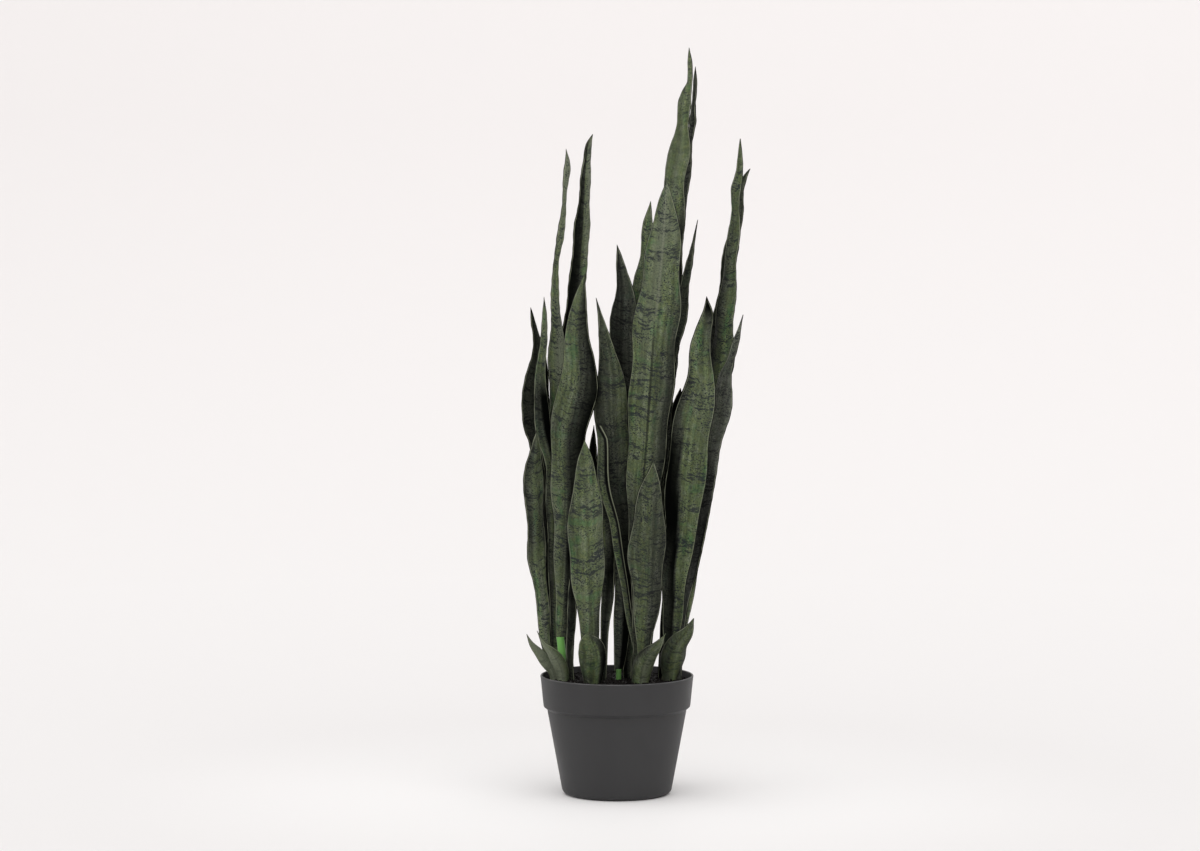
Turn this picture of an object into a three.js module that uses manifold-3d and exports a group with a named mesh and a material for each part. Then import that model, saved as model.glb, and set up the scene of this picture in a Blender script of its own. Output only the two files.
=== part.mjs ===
// A potted snake plant: stiff sword-shaped leaves in four clumps, standing in dark soil in a
// tapered plastic pot with a deep rim band. Millimetres, +Z up, +X to the right and +Y to the
// back. The origin is the centre of the pot's underside.

import * as THREE from 'three';
import { mergeVertices } from 'three/addons/utils/BufferGeometryUtils.js';
import Module from 'manifold-3d';

const wasm = await Module();
wasm.setup();

// ---------------------------------------------------------------- driving sizes

const POT_HEIGHT = 148;
const RIM_RADIUS = 95;
const BAND_HEIGHT = 38;
const BAND_FOOT = POT_HEIGHT - BAND_HEIGHT;
const BAND_FOOT_RADIUS = 91.2;
const BODY_TOP_RADIUS = 86.4;
const BODY_FOOT_RADIUS = 68.6;
const BASE_RADIUS = 61.5;
const CORNER_RADIUS = 8;
const POT_WALL = 2.4;
const POT_FLOOR = 3;
const LIP_RADIUS = 1.3;
const ROUND_SIDES = 48;

// The band's underside slopes out from the body's top to the band's foot. Heights are counted
// from the band's foot, and reach from the body.
const BODY_TOP_DROP = 5.2;
const SLOPE_REACH = 3;
const SLOPE_DROP = 2.4;
const BAND_FOOT_RISE = 0.6;
const LIP_FOOT_DROP = 2;
const LIP_STEP = 0.3;
const INNER_BODY_DROP = 5.5;
const INNER_BAND_DROP = 1;
const BASE_EDGE = 1;
const INNER_CORNER_RISE = 2;

const SOIL_LEVEL = 140;
const SOIL_RINGS = 9;
const CLUMP_HEIGHT = 1.1;
const CRUMB_SHARE = 0.6;
const SOIL_INSET = 0.45;

const GAP = 0.3;
const WELD = 1e-3;
const BLADE_THICKNESS = 1.2;
const FOOT_DEPTH = 18;
const SLOT_SHARE = 1.08;
const COLLAR = 142;
const STALK_SEGMENTS = 5;
const STALK_STEPS = 8;

// A blade's foot stands upright. Its fold opens from a part of its depth at the foot, and the
// waves of its edges grow from where they begin.
const UPRIGHT_LENGTH = 14;
const FOOT_FOLD = 0.3;
const FOLD_LENGTH = 60;
const FOLD_CURVE = 1.4;
const WAVE_LENGTH = 78;
const WAVE_START = 15;
const WAVE_GROWTH = 70;
const WAVE_SKEW = 1.1;
const SCALLOP_SHARE = 0.07;
const SCALLOP_PACE = 0.83;
const SCALLOP_SKEW = 2.3;
const LETTER_PHASE = 0.37;
const NARROWEST = 2.4;

const BROAD_WIDTH = 38;
const BROAD_STEP = 17;
const NARROW_STEP = 20;
const FEWEST_STEPS = 7;

// ---------------------------------------------------------------- finishes

const finish = (colour, roughness) =>
  new THREE.MeshStandardMaterial({ color: colour, roughness, metalness: 0 });

const GREEN = () => finish(0x5c6849, 0.5);
const DARK = () => finish(0x333c33, 0.55);
const STALK_GREEN = () => finish(0x4f963f, 0.45);
const SOIL_BLACK = () => finish(0x201b1a, 0.95);
const POT_GREY = () => finish(0x3d3d3e, 0.6);

// ---------------------------------------------------------------- leaves

// Each leaf has a fold, the depth of its channel as a part of its width, which is positive
// where the keel points forward. Its wave is how far the edges swing, in millimetres. Its
// stations run from the soil to the tip: height, place across, place in depth, width of the
// blade, and the turn of the blade about the upright in degrees.

const LEAVES = {
  // centre clump
  leaf_centre_tall: { fold: 0.14, wave: 2.6, look: GREEN, stations: [
    [142, 24, 30, 13, -8], [263, 33, 36, 27, -16], [425, 46, 42, 39, -24],
    [575, 58.6, 47, 38.6, -28], [641, 62.4, 50, 34.6, -27], [686, 67, 52, 34.6, -26],
    [758, 70.2, 55, 29.6, -22], [798, 78, 57, 28, -16], [828, 81.4, 58, 16.2, -14],
    [856, 83.4, 59, 17.2, -20], [870, 86, 60, 13, -24], [882, 90, 60, 8, -26],
    [904, 91, 61, 8, -26], [926, 90, 62, 0, -20]] },
  leaf_centre_tall_back: { fold: 0.14, wave: 2, look: DARK, stations: [
    [142, 33, 45, 11, -8], [248, 39, 54, 22, -18], [412, 49, 64, 34, -28], [562, 59, 72, 36, -32],
    [668, 68.2, 79, 24.5, -30], [764, 85, 85, 15.4, -26], [805, 91, 88, 9, -36],
    [834, 95, 90, 10, -34], [852, 95, 91, 8, -62], [880, 98, 93, 7, -30], [904, 99, 95, 0, -10]] },
  leaf_centre_broad: { fold: 0.15, wave: 2.2, look: GREEN, stations: [
    [142, 26, 2, 15, 0], [179, 28, -1, 17, 0], [266, 30, -6, 28, -2], [355, 31, -11, 39, -6],
    [465, 38, -17, 53, -9], [587, 47, -20, 57, -12], [643, 53, -22, 50, -14],
    [692, 57, -23, 39, -14], [726, 59, -24, 26, -14], [759, 61, -24, 0, -12]] },
  leaf_centre_right: { fold: 0.12, wave: 1.4, look: DARK, stations: [
    [142, 35, 19, 12, -4], [225, 39, 17, 18, -8], [300, 45, 15, 25, -16], [413, 47, 17, 26.6, -26],
    [503, 55.2, 17, 29.2, -28], [554, 65, 17, 25.8, -28], [600, 77.5, 16, 21, -28],
    [637, 83.6, 16, 15, -34], [675, 91.3, 15, 8.6, -42], [712, 100, 15, 0, -40]] },
  leaf_centre_left: { fold: 0.13, wave: 1.8, look: GREEN, stations: [
    [142, 13, 24, 11, -4], [263, 17, 28, 21, -10], [426, 27, 34, 32, -20], [550, 33, 37, 36, -24],
    [624, 35, 38, 35, -22], [662, 39, 38, 27, -18], [701, 38, 38, 15, -16],
    [735, 42, 38, 0, -14]] },
  leaf_centre_grey: { fold: 0.13, wave: 1.6, look: DARK, foot: 'stalk', stations: [
    [150, 2.4, 12, 12, 0], [178, 5, 12, 18, -2], [227, 7.4, 13, 23.2, -6], [314, 9.6, 16, 28, -12],
    [426, 10, 20, 32, -20], [525, 6, 22, 37, -24], [590, 7, 23, 35, -24], [627, 8, 24, 24, -22],
    [658, 4, 25, 11, -20], [681, 0, 26, 0, -20]] },
  leaf_centre_folded: { fold: 0.2, wave: 1.6, look: GREEN, stations: [
    [142, 27, 10, 13, 0], [178, 27, 8, 15, 0], [225, 21, 7, 22, 4], [279, 15, 5, 28, 10],
    [331, 9, 3, 34, 14], [380, 0, 1, 41, 16], [447, -3, -1, 44, 16], [495, -6, -3, 40, 14],
    [525, -8, -4, 32, 12], [555, -12, -5, 19, 14], [585, -18.8, -6, 9, 18],
    [616, -26, -8, 0, 20]] },
  leaf_centre_small: { fold: 0.16, wave: 1, look: DARK, stations: [
    [142, -17, 8, 9, 0], [201, -15.3, 10, 10.6, -8], [252, -12.2, 14, 17, -16],
    [302, -13.4, 17, 21.6, -22], [364, -20, 19, 21, -26], [426, -27, 21, 18, -28],
    [457, -27, 22, 0, -28]] },
  leaf_centre_short: { fold: 0.15, wave: 1.8, look: GREEN, stations: [
    [142, 32, -10, 13, 0], [187, 33.3, -15, 18.6, 2], [223, 35.6, -22, 30.2, 6],
    [269, 38, -31, 42, 12], [306, 38, -38, 47, 14], [346, 40, -45, 42, 16], [383, 42, -50, 27, 16],
    [419, 44, -55, 0, 14]] },
  leaf_centre_curl: { fold: 0.2, wave: 0.6, look: GREEN, stations: [
    [142, 29, -22, 21, 0], [159, 31, -26, 25, -6], [175, 38, -31, 21, -12],
    [189, 50, -37, 11, -16], [205, 60, -43, 0, -16]] },

  // left clump
  leaf_left_tall_thin: { fold: 0.14, wave: 2.2, look: GREEN, stations: [
    [142, -63, 31, 9, 6], [288, -66, 29, 21, 20], [400, -68, 27, 28, 30], [490, -70, 25, 28, 32],
    [535, -72.4, 24, 27, 32], [580, -73.5, 22, 18.4, 34], [620, -76, 20, 10.8, 38],
    [651, -75.4, 18, 11, 38], [687, -69.4, 16, 9.6, 36], [706, -67.7, 15, 8.2, 38],
    [742, -63.8, 13, 9, 38], [778, -60.7, 11, 7.4, 34], [799, -63, 10, 0, 30]] },
  leaf_left_tall: { fold: 0.18, wave: 2.4, look: GREEN, stations: [
    [142, -59.5, 36, 9, 4], [200, -58.5, 39, 13, 8], [262, -56.5, 43, 19, 16],
    [387, -52, 52, 30, 28], [500, -54, 57, 34, 32], [583, -52.6, 61, 28.8, 34],
    [642, -46, 64, 24.6, 34], [699, -41.6, 66, 24.6, 32], [727, -40.3, 67, 16.4, 28],
    [761, -37.6, 69, 16.6, 26], [786, -36.6, 70, 9, 24], [805, -35, 71, 8, 20],
    [819, -30, 72, 0, 10]] },
  leaf_left_broad: { fold: 0.16, wave: 2.2, look: GREEN, foot: 'stalk', stations: [
    [182, -69.2, 14, 8, 0], [194, -69, 13, 15, 0], [244, -65, 8, 24, -2], [309, -62, 2, 35, -6],
    [376, -60, -4, 45, -8], [442, -60, -9, 49, -10], [485, -53, -12, 53, -12],
    [507, -50, -14, 51, -12], [537, -48, -16, 42, -14], [565, -50, -18, 32, -14],
    [595, -49, -20, 23, -14], [620, -45, -22, 14, -12], [646, -39, -24, 0, -12]] },
  leaf_left_narrow: { fold: 0.16, wave: 0.6, look: DARK, stations: [
    [142, -57, 8, 9, 0], [178, -59, 5, 9, 0], [208, -57, 0, 12, -10], [235, -56, -4, 12, -16],
    [254, -57, -7, 8, -16], [276, -58, -10, 0, -16]] },
  leaf_left_short: { fold: 0.15, wave: 1.8, look: GREEN, stations: [
    [142, -32, -12, 14, 0], [201, -33.6, -19, 24, 4], [237, -34, -25, 31, 8],
    [277, -36, -32, 43, 12], [312, -36, -39, 48, 14], [350, -37, -46, 43, 14],
    [381, -38, -52, 35, 12], [418, -38, -58, 20, 10], [444, -40, -62, 0, 10]] },
  leaf_left_basal: { fold: 0.14, wave: 0.6, look: GREEN, stations: [
    [142, -29, -26, 19, 0], [161, -29, -29, 30, 4], [180, -32, -34, 32, 6], [194, -34, -38, 25, 6],
    [208, -33, -42, 0, 6]] },

  // far left clump
  leaf_far_left_dark: { fold: 0.15, wave: 2, look: DARK, stations: [
    [142, -71, 44, 9, 12], [173, -75, 47, 12, 16], [236, -86, 50, 20, 22], [336, -96, 55, 25, 28],
    [428, -96.5, 61, 24, 30], [441, -98.4, 62, 25, 30], [456, -102.3, 63, 29.4, 30],
    [487, -106, 65, 30, 30], [536, -98.6, 69, 17.6, 32], [564, -100, 71, 13, 34],
    [583, -104, 73, 8, 34], [602, -108, 75, 0, 30]] },
  leaf_far_left_thin: { fold: 0.1, wave: 1.4, look: GREEN, stations: [
    [142, -76, 29, 9, 6], [175, -77, 27, 11, 8], [250, -77, 20, 16, 14], [341, -78, 15, 20, 18],
    [407, -80, 13, 20, 22], [451, -90, 9, 21, 24], [491, -94, 4, 21, 26], [537, -93, 2, 12, 30],
    [565, -90, 1, 11, 30], [593, -89, 0, 7, 30], [617, -90, -1, 0, 30]] },
  leaf_far_left_inner: { fold: 0.12, wave: 1.2, look: DARK, stations: [
    [142, -61.5, 44, 8, 4], [190, -68, 44, 11, 6], [235, -70, 45, 14, 10], [324, -77, 44, 20, 22],
    [412, -83, 41, 22, 28], [472, -90, 37, 20, 30], [516, -90, 36, 13, 30],
    [546, -89, 36, 0, 30]] },
  leaf_far_left_front: { fold: 0.18, wave: 1.8, look: GREEN, stations: [
    [142, -76, 20, 10, 4], [183, -88, 15, 12, 8], [224, -91, 10, 16, 14],
    [265, -94.6, 4, 19.2, 20], [298, -98, -1, 24, 24], [366, -100, -10, 25, 26],
    [403, -102, -15, 26, 28], [432, -99, -19, 14, 28], [454, -99, -22, 0, 28]] },
  leaf_far_left_curl: { fold: 0.2, wave: 0.5, look: GREEN, stations: [
    [142, -77, 8, 11, 6], [150, -79, 8, 12, 6], [162, -88, 6, 13, 10], [173, -95, 4, 12, 14],
    [186, -106, 1, 6, 16], [199, -112, -2, 0, 16]] },
  leaf_far_left_lip: { fold: 0.22, wave: 0.5, look: GREEN, stations: [
    [142, -67, 0, 15, 0], [151, -68, -1, 17, 2], [164, -73, -4, 17, 6], [177, -81, -8, 12, 10],
    [187, -90, -12, 6, 12], [205, -99, -17, 0, 12]] },

  // right clump
  leaf_right_small: { fold: 0.14, wave: 1, look: DARK, stations: [
    [142, 56, 27, 10, 0], [262, 66, 28, 18, -10], [363, 74, 27, 23, -18], [440, 73, 26, 23, -20],
    [478, 76.2, 26, 18, -22], [503, 79, 26, 0, -22]] },
  leaf_right_broad: { fold: -0.16, wave: 2, look: GREEN, stations: [
    [142, 62, 14, 14, 0], [177, 66, 12, 17, -4], [231, 70, 8, 29, -10], [284, 74, 3, 35, -14],
    [343, 82, -2, 46, -16], [398, 87, -7, 52, -16], [449, 93, -11, 51, -16],
    [483, 99, -14, 47, -16], [519, 104, -17, 36, -16], [553, 104, -19, 28, -16],
    [576, 107, -21, 20, -16], [597, 111.2, -23, 14.4, -14], [618, 109.6, -24, 0, -12]] },
  leaf_right_low: { fold: 0.14, wave: 1.4, look: DARK, stations: [
    [142, 76, 14, 10, 0], [176, 77, 17, 11, -6], [228, 81.6, 18, 13.2, -12],
    [283, 90.7, 17, 21.4, -18], [351, 102, 15, 28, -24], [420, 113.2, 13, 27, -28],
    [476, 126.5, 11, 28.6, -28], [518, 133.2, 9, 20, -28], [537, 140.2, 8, 11.2, -30],
    [563, 147, 7, 8, -34], [595, 156, 6, 0, -30]] },
  leaf_right_tall: { fold: 0.15, wave: 2.6, look: GREEN, stations: [
    [142, 71, 27, 11, 0], [237, 86, 33, 17, -12], [325, 98, 37, 25, -20], [437, 112, 42, 31, -28],
    [537, 128, 46, 34, -30], [614, 136.2, 49, 22.4, -28], [650, 139.9, 51, 19.8, -28],
    [689, 145, 53, 16, -26], [720, 147, 54, 13, -26], [749, 148, 55, 15, -28],
    [768, 152, 56, 9, -28], [794, 153.3, 58, 6.4, -26], [813, 154, 60, 0, -20]] },
  leaf_right_tall_back: { fold: 0.13, wave: 2, look: DARK, stations: [
    [142, 65, 40, 10, 0], [236, 81, 50, 16, -14], [361, 101, 60, 24, -26], [486, 118, 68, 28, -32],
    [611, 134, 76, 26, -34], [689, 145, 82, 18, -32], [720, 152.4, 84, 16.6, -32],
    [749, 154.4, 87, 10.2, -30], [767, 161.6, 89, 6, -26], [776, 168, 90, 0, -20]] },
  leaf_right_curl: { fold: 0.2, wave: 0.8, look: GREEN, stations: [
    [142, 66, 3, 17, 0], [150, 67, 3, 24, 0], [166, 68.4, 0, 30.6, -6], [185, 74, -6, 25, -10],
    [202, 87, -13, 15, -12], [221, 95, -20, 0, -12]] },
};

// Two leaves stand in moulded stalks: the stalk's route, and the leaf in its slot.
const STALKS = {
  stalk_left: { holds: 'leaf_left_broad', radius: 5, route: [
    [-64, 16, 124], [-64.6, 16, 143], [-67.6, 15, 168], [-70.4, 13.8, 193]] },
  stalk_centre: { holds: 'leaf_centre_grey', radius: 3.4, route: [
    [2, 12, 124], [2, 12, 136], [2.2, 12, 148], [2.5, 12, 161]] },
};

// ---------------------------------------------------------------- solids

function geometryFrom(points, triangles) {
  const geometry = new THREE.BufferGeometry();
  geometry.setAttribute('position', new THREE.Float32BufferAttribute(points.flat(), 3));
  geometry.setIndex(triangles.flat());
  return geometry;
}

function merged(geometry) {
  geometry.deleteAttribute('normal');
  geometry.deleteAttribute('uv');
  return mergeVertices(geometry, WELD);
}

function solid(geometry) {
  const clean = merged(geometry);
  return new wasm.Manifold(new wasm.Mesh({
    numProp: 3,
    vertProperties: new Float32Array(clean.attributes.position.array),
    triVerts: new Uint32Array(clean.index.array),
  }));
}

function geometryOf(manifold) {
  const { vertProperties, triVerts } = manifold.getMesh();
  const geometry = new THREE.BufferGeometry();
  geometry.setAttribute('position', new THREE.BufferAttribute(new Float32Array(vertProperties), 3));
  geometry.setIndex(new THREE.BufferAttribute(new Uint32Array(triVerts), 1));
  return geometry;
}

function turned(profile) {
  const points = profile.map(([radius, height]) => new THREE.Vector2(radius, height));
  return new THREE.LatheGeometry(points, ROUND_SIDES).rotateX(Math.PI / 2);
}

function named(name, geometry, material) {
  geometry.computeVertexNormals();
  const mesh = new THREE.Mesh(geometry, material);
  mesh.name = name;
  return mesh;
}

// ---------------------------------------------------------------- blades

const ease = (x) => THREE.MathUtils.smoothstep(x, 0, 1);

// Where a leaf's waves start, different for every name.
function phaseOf(name) {
  return [...name].reduce((sum, letter) => sum + letter.charCodeAt(0) * LETTER_PHASE, 0);
}

// The places, widths and turns along a leaf, one row of the blade for each step.
function bladeRows(stations, step) {
  const centre = new THREE.CatmullRomCurve3(stations.map(([z, x, y]) => new THREE.Vector3(x, y, z)));
  const form = new THREE.CatmullRomCurve3(
    stations.map(([, , , width, turn]) => new THREE.Vector3(width, turn, 0)), false, 'catmullrom');
  const length = centre.getLength();
  const steps = Math.max(FEWEST_STEPS, Math.round(length / step));
  return Array.from({ length: steps + 1 }, (_, i) => {
    const t = centre.getUtoTmapping(i / steps);
    const { x: width, y: turn } = form.getPoint(t);
    return {
      place: centre.getPoint(t),
      tangent: centre.getTangent(t),
      width: Math.max(width, NARROWEST),
      turn: THREE.MathUtils.degToRad(turn),
      along: length * i / steps,
    };
  });
}

// The blade's own directions at a row: across it and out of its front face. Near the soil the
// blade is made to stand upright, so that its foot fits a straight slot.
function rowAxes({ tangent, turn, along }) {
  const up = new THREE.Vector3(0, 0, 1);
  const length = tangent.clone().lerp(up, Math.max(0, 1 - along / UPRIGHT_LENGTH)).normalize();
  const across = new THREE.Vector3(Math.cos(turn), Math.sin(turn), 0);
  across.addScaledVector(length, -across.dot(length)).normalize();
  return { across, front: across.clone().cross(length) };
}

function foldDepth(leaf, { width, along }) {
  return leaf.fold * width * (FOOT_FOLD + (1 - FOOT_FOLD) * ease(along / FOLD_LENGTH));
}

// A point on the blade's middle sheet, side running from -1 at the left edge to 1 at the right.
function bladePoint(name, leaf, row, side) {
  const { across, front } = rowAxes(row);
  const growth = ease((row.along - WAVE_START) / WAVE_GROWTH);
  const angle = 2 * Math.PI * row.along / WAVE_LENGTH + phaseOf(name);
  const swing = leaf.wave * growth * side * side * Math.sin(angle + WAVE_SKEW * side);
  const scallop = Math.sin(SCALLOP_PACE * angle + SCALLOP_SKEW * Math.sign(side));
  const reach = 1 + SCALLOP_SHARE * growth * scallop;
  const lift = swing - foldDepth(leaf, row) * Math.abs(side) ** FOLD_CURVE;
  return row.place.clone().addScaledVector(across, side * row.width / 2 * reach)
    .addScaledVector(front, lift);
}

// The closed blade of a leaf. Both faces are split into triangles alike. Its foot goes straight
// down below the first station by the given depth.
function bladeGeometry(name, leaf, footDepth, thickness = BLADE_THICKNESS, grow = 0) {
  const broad = Math.max(...leaf.stations.map((station) => station[3])) > BROAD_WIDTH;
  const sides = broad ? [-1, -0.5, 0, 0.5, 1] : [-1, 0, 1];
  const rows = bladeRows(leaf.stations, broad ? BROAD_STEP : NARROW_STEP);
  const tip = rows.pop();
  rows.forEach((row) => { row.width += grow; });
  if (footDepth > 0) {
    const place = rows[0].place.clone().setZ(rows[0].place.z - footDepth);
    rows.unshift({ ...rows[0], place });
  }
  const points = [];
  for (const row of rows) {
    const { front } = rowAxes(row);
    for (const face of [0.5, -0.5]) {
      for (const side of sides) {
        const point = bladePoint(name, leaf, row, side).addScaledVector(front, face * thickness);
        points.push(point.toArray());
      }
    }
  }
  const { front } = rowAxes(tip);
  for (const face of [0.5, -0.5]) {
    points.push(tip.place.clone().addScaledVector(front, face * thickness).toArray());
  }
  return geometryFrom(points, bladeTriangles(rows.length, sides.length));
}

function bladeTriangles(rowCount, columns) {
  const at = (row, back, column) => (2 * row + back) * columns + column;
  const last = columns - 1;
  const tipFront = 2 * rowCount * columns;
  const tipBack = tipFront + 1;
  const triangles = [];
  const quad = (a, b, c, d) => triangles.push([a, b, c], [a, c, d]);
  for (let j = 0; j < last; j += 1) {
    quad(at(0, 0, j), at(0, 1, j), at(0, 1, j + 1), at(0, 0, j + 1));
  }
  for (let i = 0; i < rowCount - 1; i += 1) {
    for (let j = 0; j < last; j += 1) {
      const [a, b, c, d] = [at(i, 0, j), at(i, 0, j + 1), at(i + 1, 0, j + 1), at(i + 1, 0, j)];
      triangles.push([a, b, c], [a, c, d]);
      const [e, f, g, h] = [a, b, c, d].map((index) => index + columns);
      triangles.push([e, g, f], [e, h, g]);
    }
    quad(at(i, 0, 0), at(i + 1, 0, 0), at(i + 1, 1, 0), at(i, 1, 0));
    quad(at(i, 0, last), at(i, 1, last), at(i + 1, 1, last), at(i + 1, 0, last));
  }
  const top = rowCount - 1;
  for (let j = 0; j < last; j += 1) {
    triangles.push([at(top, 0, j), at(top, 0, j + 1), tipFront]);
    triangles.push([at(top, 1, j + 1), at(top, 1, j), tipBack]);
  }
  quad(at(top, 0, 0), tipFront, tipBack, at(top, 1, 0));
  quad(at(top, 0, last), at(top, 1, last), tipBack, tipFront);
  return triangles;
}

const leafMesh = (name, leaf) => named(
  name, bladeGeometry(name, leaf, leaf.foot === 'stalk' ? 0 : FOOT_DEPTH), leaf.look());

// ---------------------------------------------------------------- stalks

function stalkRod({ radius, route }, extra = 0) {
  const section = new THREE.Shape().absarc(0, 0, radius + extra, 0, 2 * Math.PI, false);
  const [first, ...rest] = route.map((point) => new THREE.Vector3(...point));
  first.z -= extra;
  const path = new THREE.CatmullRomCurve3([first, ...rest]);
  return new THREE.ExtrudeGeometry(section, {
    curveSegments: STALK_SEGMENTS,
    steps: STALK_STEPS,
    bevelEnabled: false,
    extrudePath: path,
  });
}

// A stalk with the slot that its leaf stands in, cut a little wider than the blade.
function stalkMesh(name, stalk) {
  const wide = BLADE_THICKNESS + 2 * GAP;
  const seat = bladeGeometry(stalk.holds, LEAVES[stalk.holds], GAP, wide, 2 * GAP);
  return named(name, geometryOf(solid(stalkRod(stalk)).subtract(solid(seat))), STALK_GREEN());
}

// ---------------------------------------------------------------- pot

function cornerArc(centreRadius, centreHeight, radius, from, to, count) {
  return Array.from({ length: count + 1 }, (_, i) => {
    const angle = THREE.MathUtils.degToRad(from + (to - from) * i / count);
    return [centreRadius + radius * Math.cos(angle), centreHeight + radius * Math.sin(angle)];
  });
}

// The inside of the pot, from its floor up to just under the lip.
function innerProfile(inset = 0) {
  const wall = POT_WALL + inset;
  return [
    [BASE_RADIUS - BASE_EDGE - inset, POT_FLOOR + inset],
    [BODY_FOOT_RADIUS - wall, CORNER_RADIUS + INNER_CORNER_RISE],
    [BODY_TOP_RADIUS - wall, BAND_FOOT - INNER_BODY_DROP],
    [BAND_FOOT_RADIUS - wall, BAND_FOOT - INNER_BAND_DROP],
  ];
}

function potMesh() {
  const profile = [
    [0, 0],
    ...cornerArc(BASE_RADIUS - BASE_EDGE, CORNER_RADIUS, CORNER_RADIUS, -90, -8, 4),
    [BODY_TOP_RADIUS, BAND_FOOT - BODY_TOP_DROP],
    [BODY_TOP_RADIUS + SLOPE_REACH, BAND_FOOT - SLOPE_DROP],
    [BAND_FOOT_RADIUS, BAND_FOOT + BAND_FOOT_RISE],
    [RIM_RADIUS - LIP_STEP, POT_HEIGHT - LIP_FOOT_DROP],
    ...cornerArc(RIM_RADIUS - LIP_RADIUS, POT_HEIGHT - LIP_RADIUS, LIP_RADIUS, 0, 180, 4),
    ...innerProfile().reverse(),
    [0, POT_FLOOR],
  ];
  return named('pot', merged(turned(profile)), POT_GREY());
}

// ---------------------------------------------------------------- soil

// Crumbs of earth as a sum of short waves, level near the wall.
function clumps(x, y) {
  const roll = Math.sin(0.19 * x + 0.6) * Math.sin(0.23 * y - 0.9);
  const crumb = Math.sin(0.41 * x + 0.29 * y) * Math.sin(0.37 * y - 0.31 * x + 1.7);
  return CLUMP_HEIGHT * (roll + CRUMB_SHARE * crumb) / (1 + CRUMB_SHARE);
}

function soilBody() {
  const inner = innerProfile(SOIL_INSET);
  const [lowRadius, lowHeight] = inner.at(-1);
  const flare = (RIM_RADIUS - BAND_FOOT_RADIUS) / (BAND_HEIGHT - LIP_FOOT_DROP - BAND_FOOT_RISE);
  const edge = lowRadius + flare * (SOIL_LEVEL - lowHeight) - GAP;
  const rings = Array.from({ length: SOIL_RINGS + 2 }, (_, i) => (
    [edge * (1 - i / (SOIL_RINGS + 1)), SOIL_LEVEL]));
  const profile = [[0, POT_FLOOR + GAP], ...inner, ...rings];
  const geometry = merged(turned(profile));
  const place = geometry.attributes.position;
  for (let i = 0; i < place.count; i += 1) {
    if (place.getZ(i) > SOIL_LEVEL - 1) {
      place.setZ(i, SOIL_LEVEL + clumps(place.getX(i), place.getY(i)));
    }
  }
  return solid(geometry);
}

// A straight slot in the soil, a little larger than the foot of the leaf that stands in it.
function footSlot(leaf) {
  const [, x, y, width, turn] = leaf.stations[0];
  const fold = foldDepth(leaf, { width, along: 0 });
  const height = 2 * FOOT_DEPTH;
  const slot = new THREE.BoxGeometry(
    width * SLOT_SHARE + 2 * GAP, BLADE_THICKNESS + Math.abs(fold) + 2 * GAP, height);
  slot.translate(0, fold / 2, height / 2);
  slot.rotateZ(THREE.MathUtils.degToRad(turn));
  slot.translate(x, y, COLLAR - FOOT_DEPTH - GAP);
  return solid(slot);
}

function soilMesh() {
  let soil = soilBody();
  for (const leaf of Object.values(LEAVES)) {
    if (leaf.foot !== 'stalk') {
      soil = soil.subtract(footSlot(leaf));
    }
  }
  for (const stalk of Object.values(STALKS)) {
    soil = soil.subtract(solid(stalkRod(stalk, GAP)));
  }
  return named('soil', geometryOf(soil), SOIL_BLACK());
}

// ---------------------------------------------------------------- the plant in its pot

const plant = new THREE.Group();
plant.add(potMesh(), soilMesh());
plant.add(...Object.entries(STALKS).map(([name, stalk]) => stalkMesh(name, stalk)));
plant.add(...Object.entries(LEAVES).map(([name, leaf]) => leafMesh(name, leaf)));

export default plant;
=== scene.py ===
"""A potted snake plant: folded and waved sheet leaves in four clumps, two of them standing in
moulded green stalks, dark crumbly soil, and a tapered grey plastic pot with a deep rim band.
Metres, +Z up, +X to the right of the plant's front and +Y to its back."""

import math
import random

import bmesh
import bpy
import numpy as np
from mathutils import Matrix, Vector, noise


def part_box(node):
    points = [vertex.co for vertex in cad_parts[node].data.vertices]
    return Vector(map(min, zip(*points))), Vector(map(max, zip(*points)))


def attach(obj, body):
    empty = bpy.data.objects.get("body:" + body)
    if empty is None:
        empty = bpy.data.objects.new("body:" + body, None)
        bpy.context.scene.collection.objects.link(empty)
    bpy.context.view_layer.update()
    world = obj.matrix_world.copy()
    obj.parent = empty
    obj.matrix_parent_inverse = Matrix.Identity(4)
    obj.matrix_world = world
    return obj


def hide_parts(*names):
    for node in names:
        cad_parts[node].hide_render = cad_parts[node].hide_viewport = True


bl_info = {
    "name": "Potted Snake Plant",
    "version": (1, 0, 0),
    "blender": (4, 5, 0),
    "location": "View3D > Sidebar > Plant",
    "description": "Builds the leaves, stalks, soil and pot of a potted snake plant",
    "category": "Add Mesh",
}

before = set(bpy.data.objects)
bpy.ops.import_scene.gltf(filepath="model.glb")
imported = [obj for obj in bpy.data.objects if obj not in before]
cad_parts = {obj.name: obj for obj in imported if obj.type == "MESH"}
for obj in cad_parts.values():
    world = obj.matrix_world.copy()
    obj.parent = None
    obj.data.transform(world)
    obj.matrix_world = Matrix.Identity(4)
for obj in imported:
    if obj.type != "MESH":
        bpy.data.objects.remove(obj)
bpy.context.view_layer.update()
BODY = "root"
MM = 0.001

# Faces that meet at less than this angle are shaded as one smooth surface.
POT_SMOOTHING = math.radians(38)
SOIL_SMOOTHING = math.radians(60)
STALK_SMOOTHING = math.radians(40)

# ---------------------------------------------------------------- sizes of the pot

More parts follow.
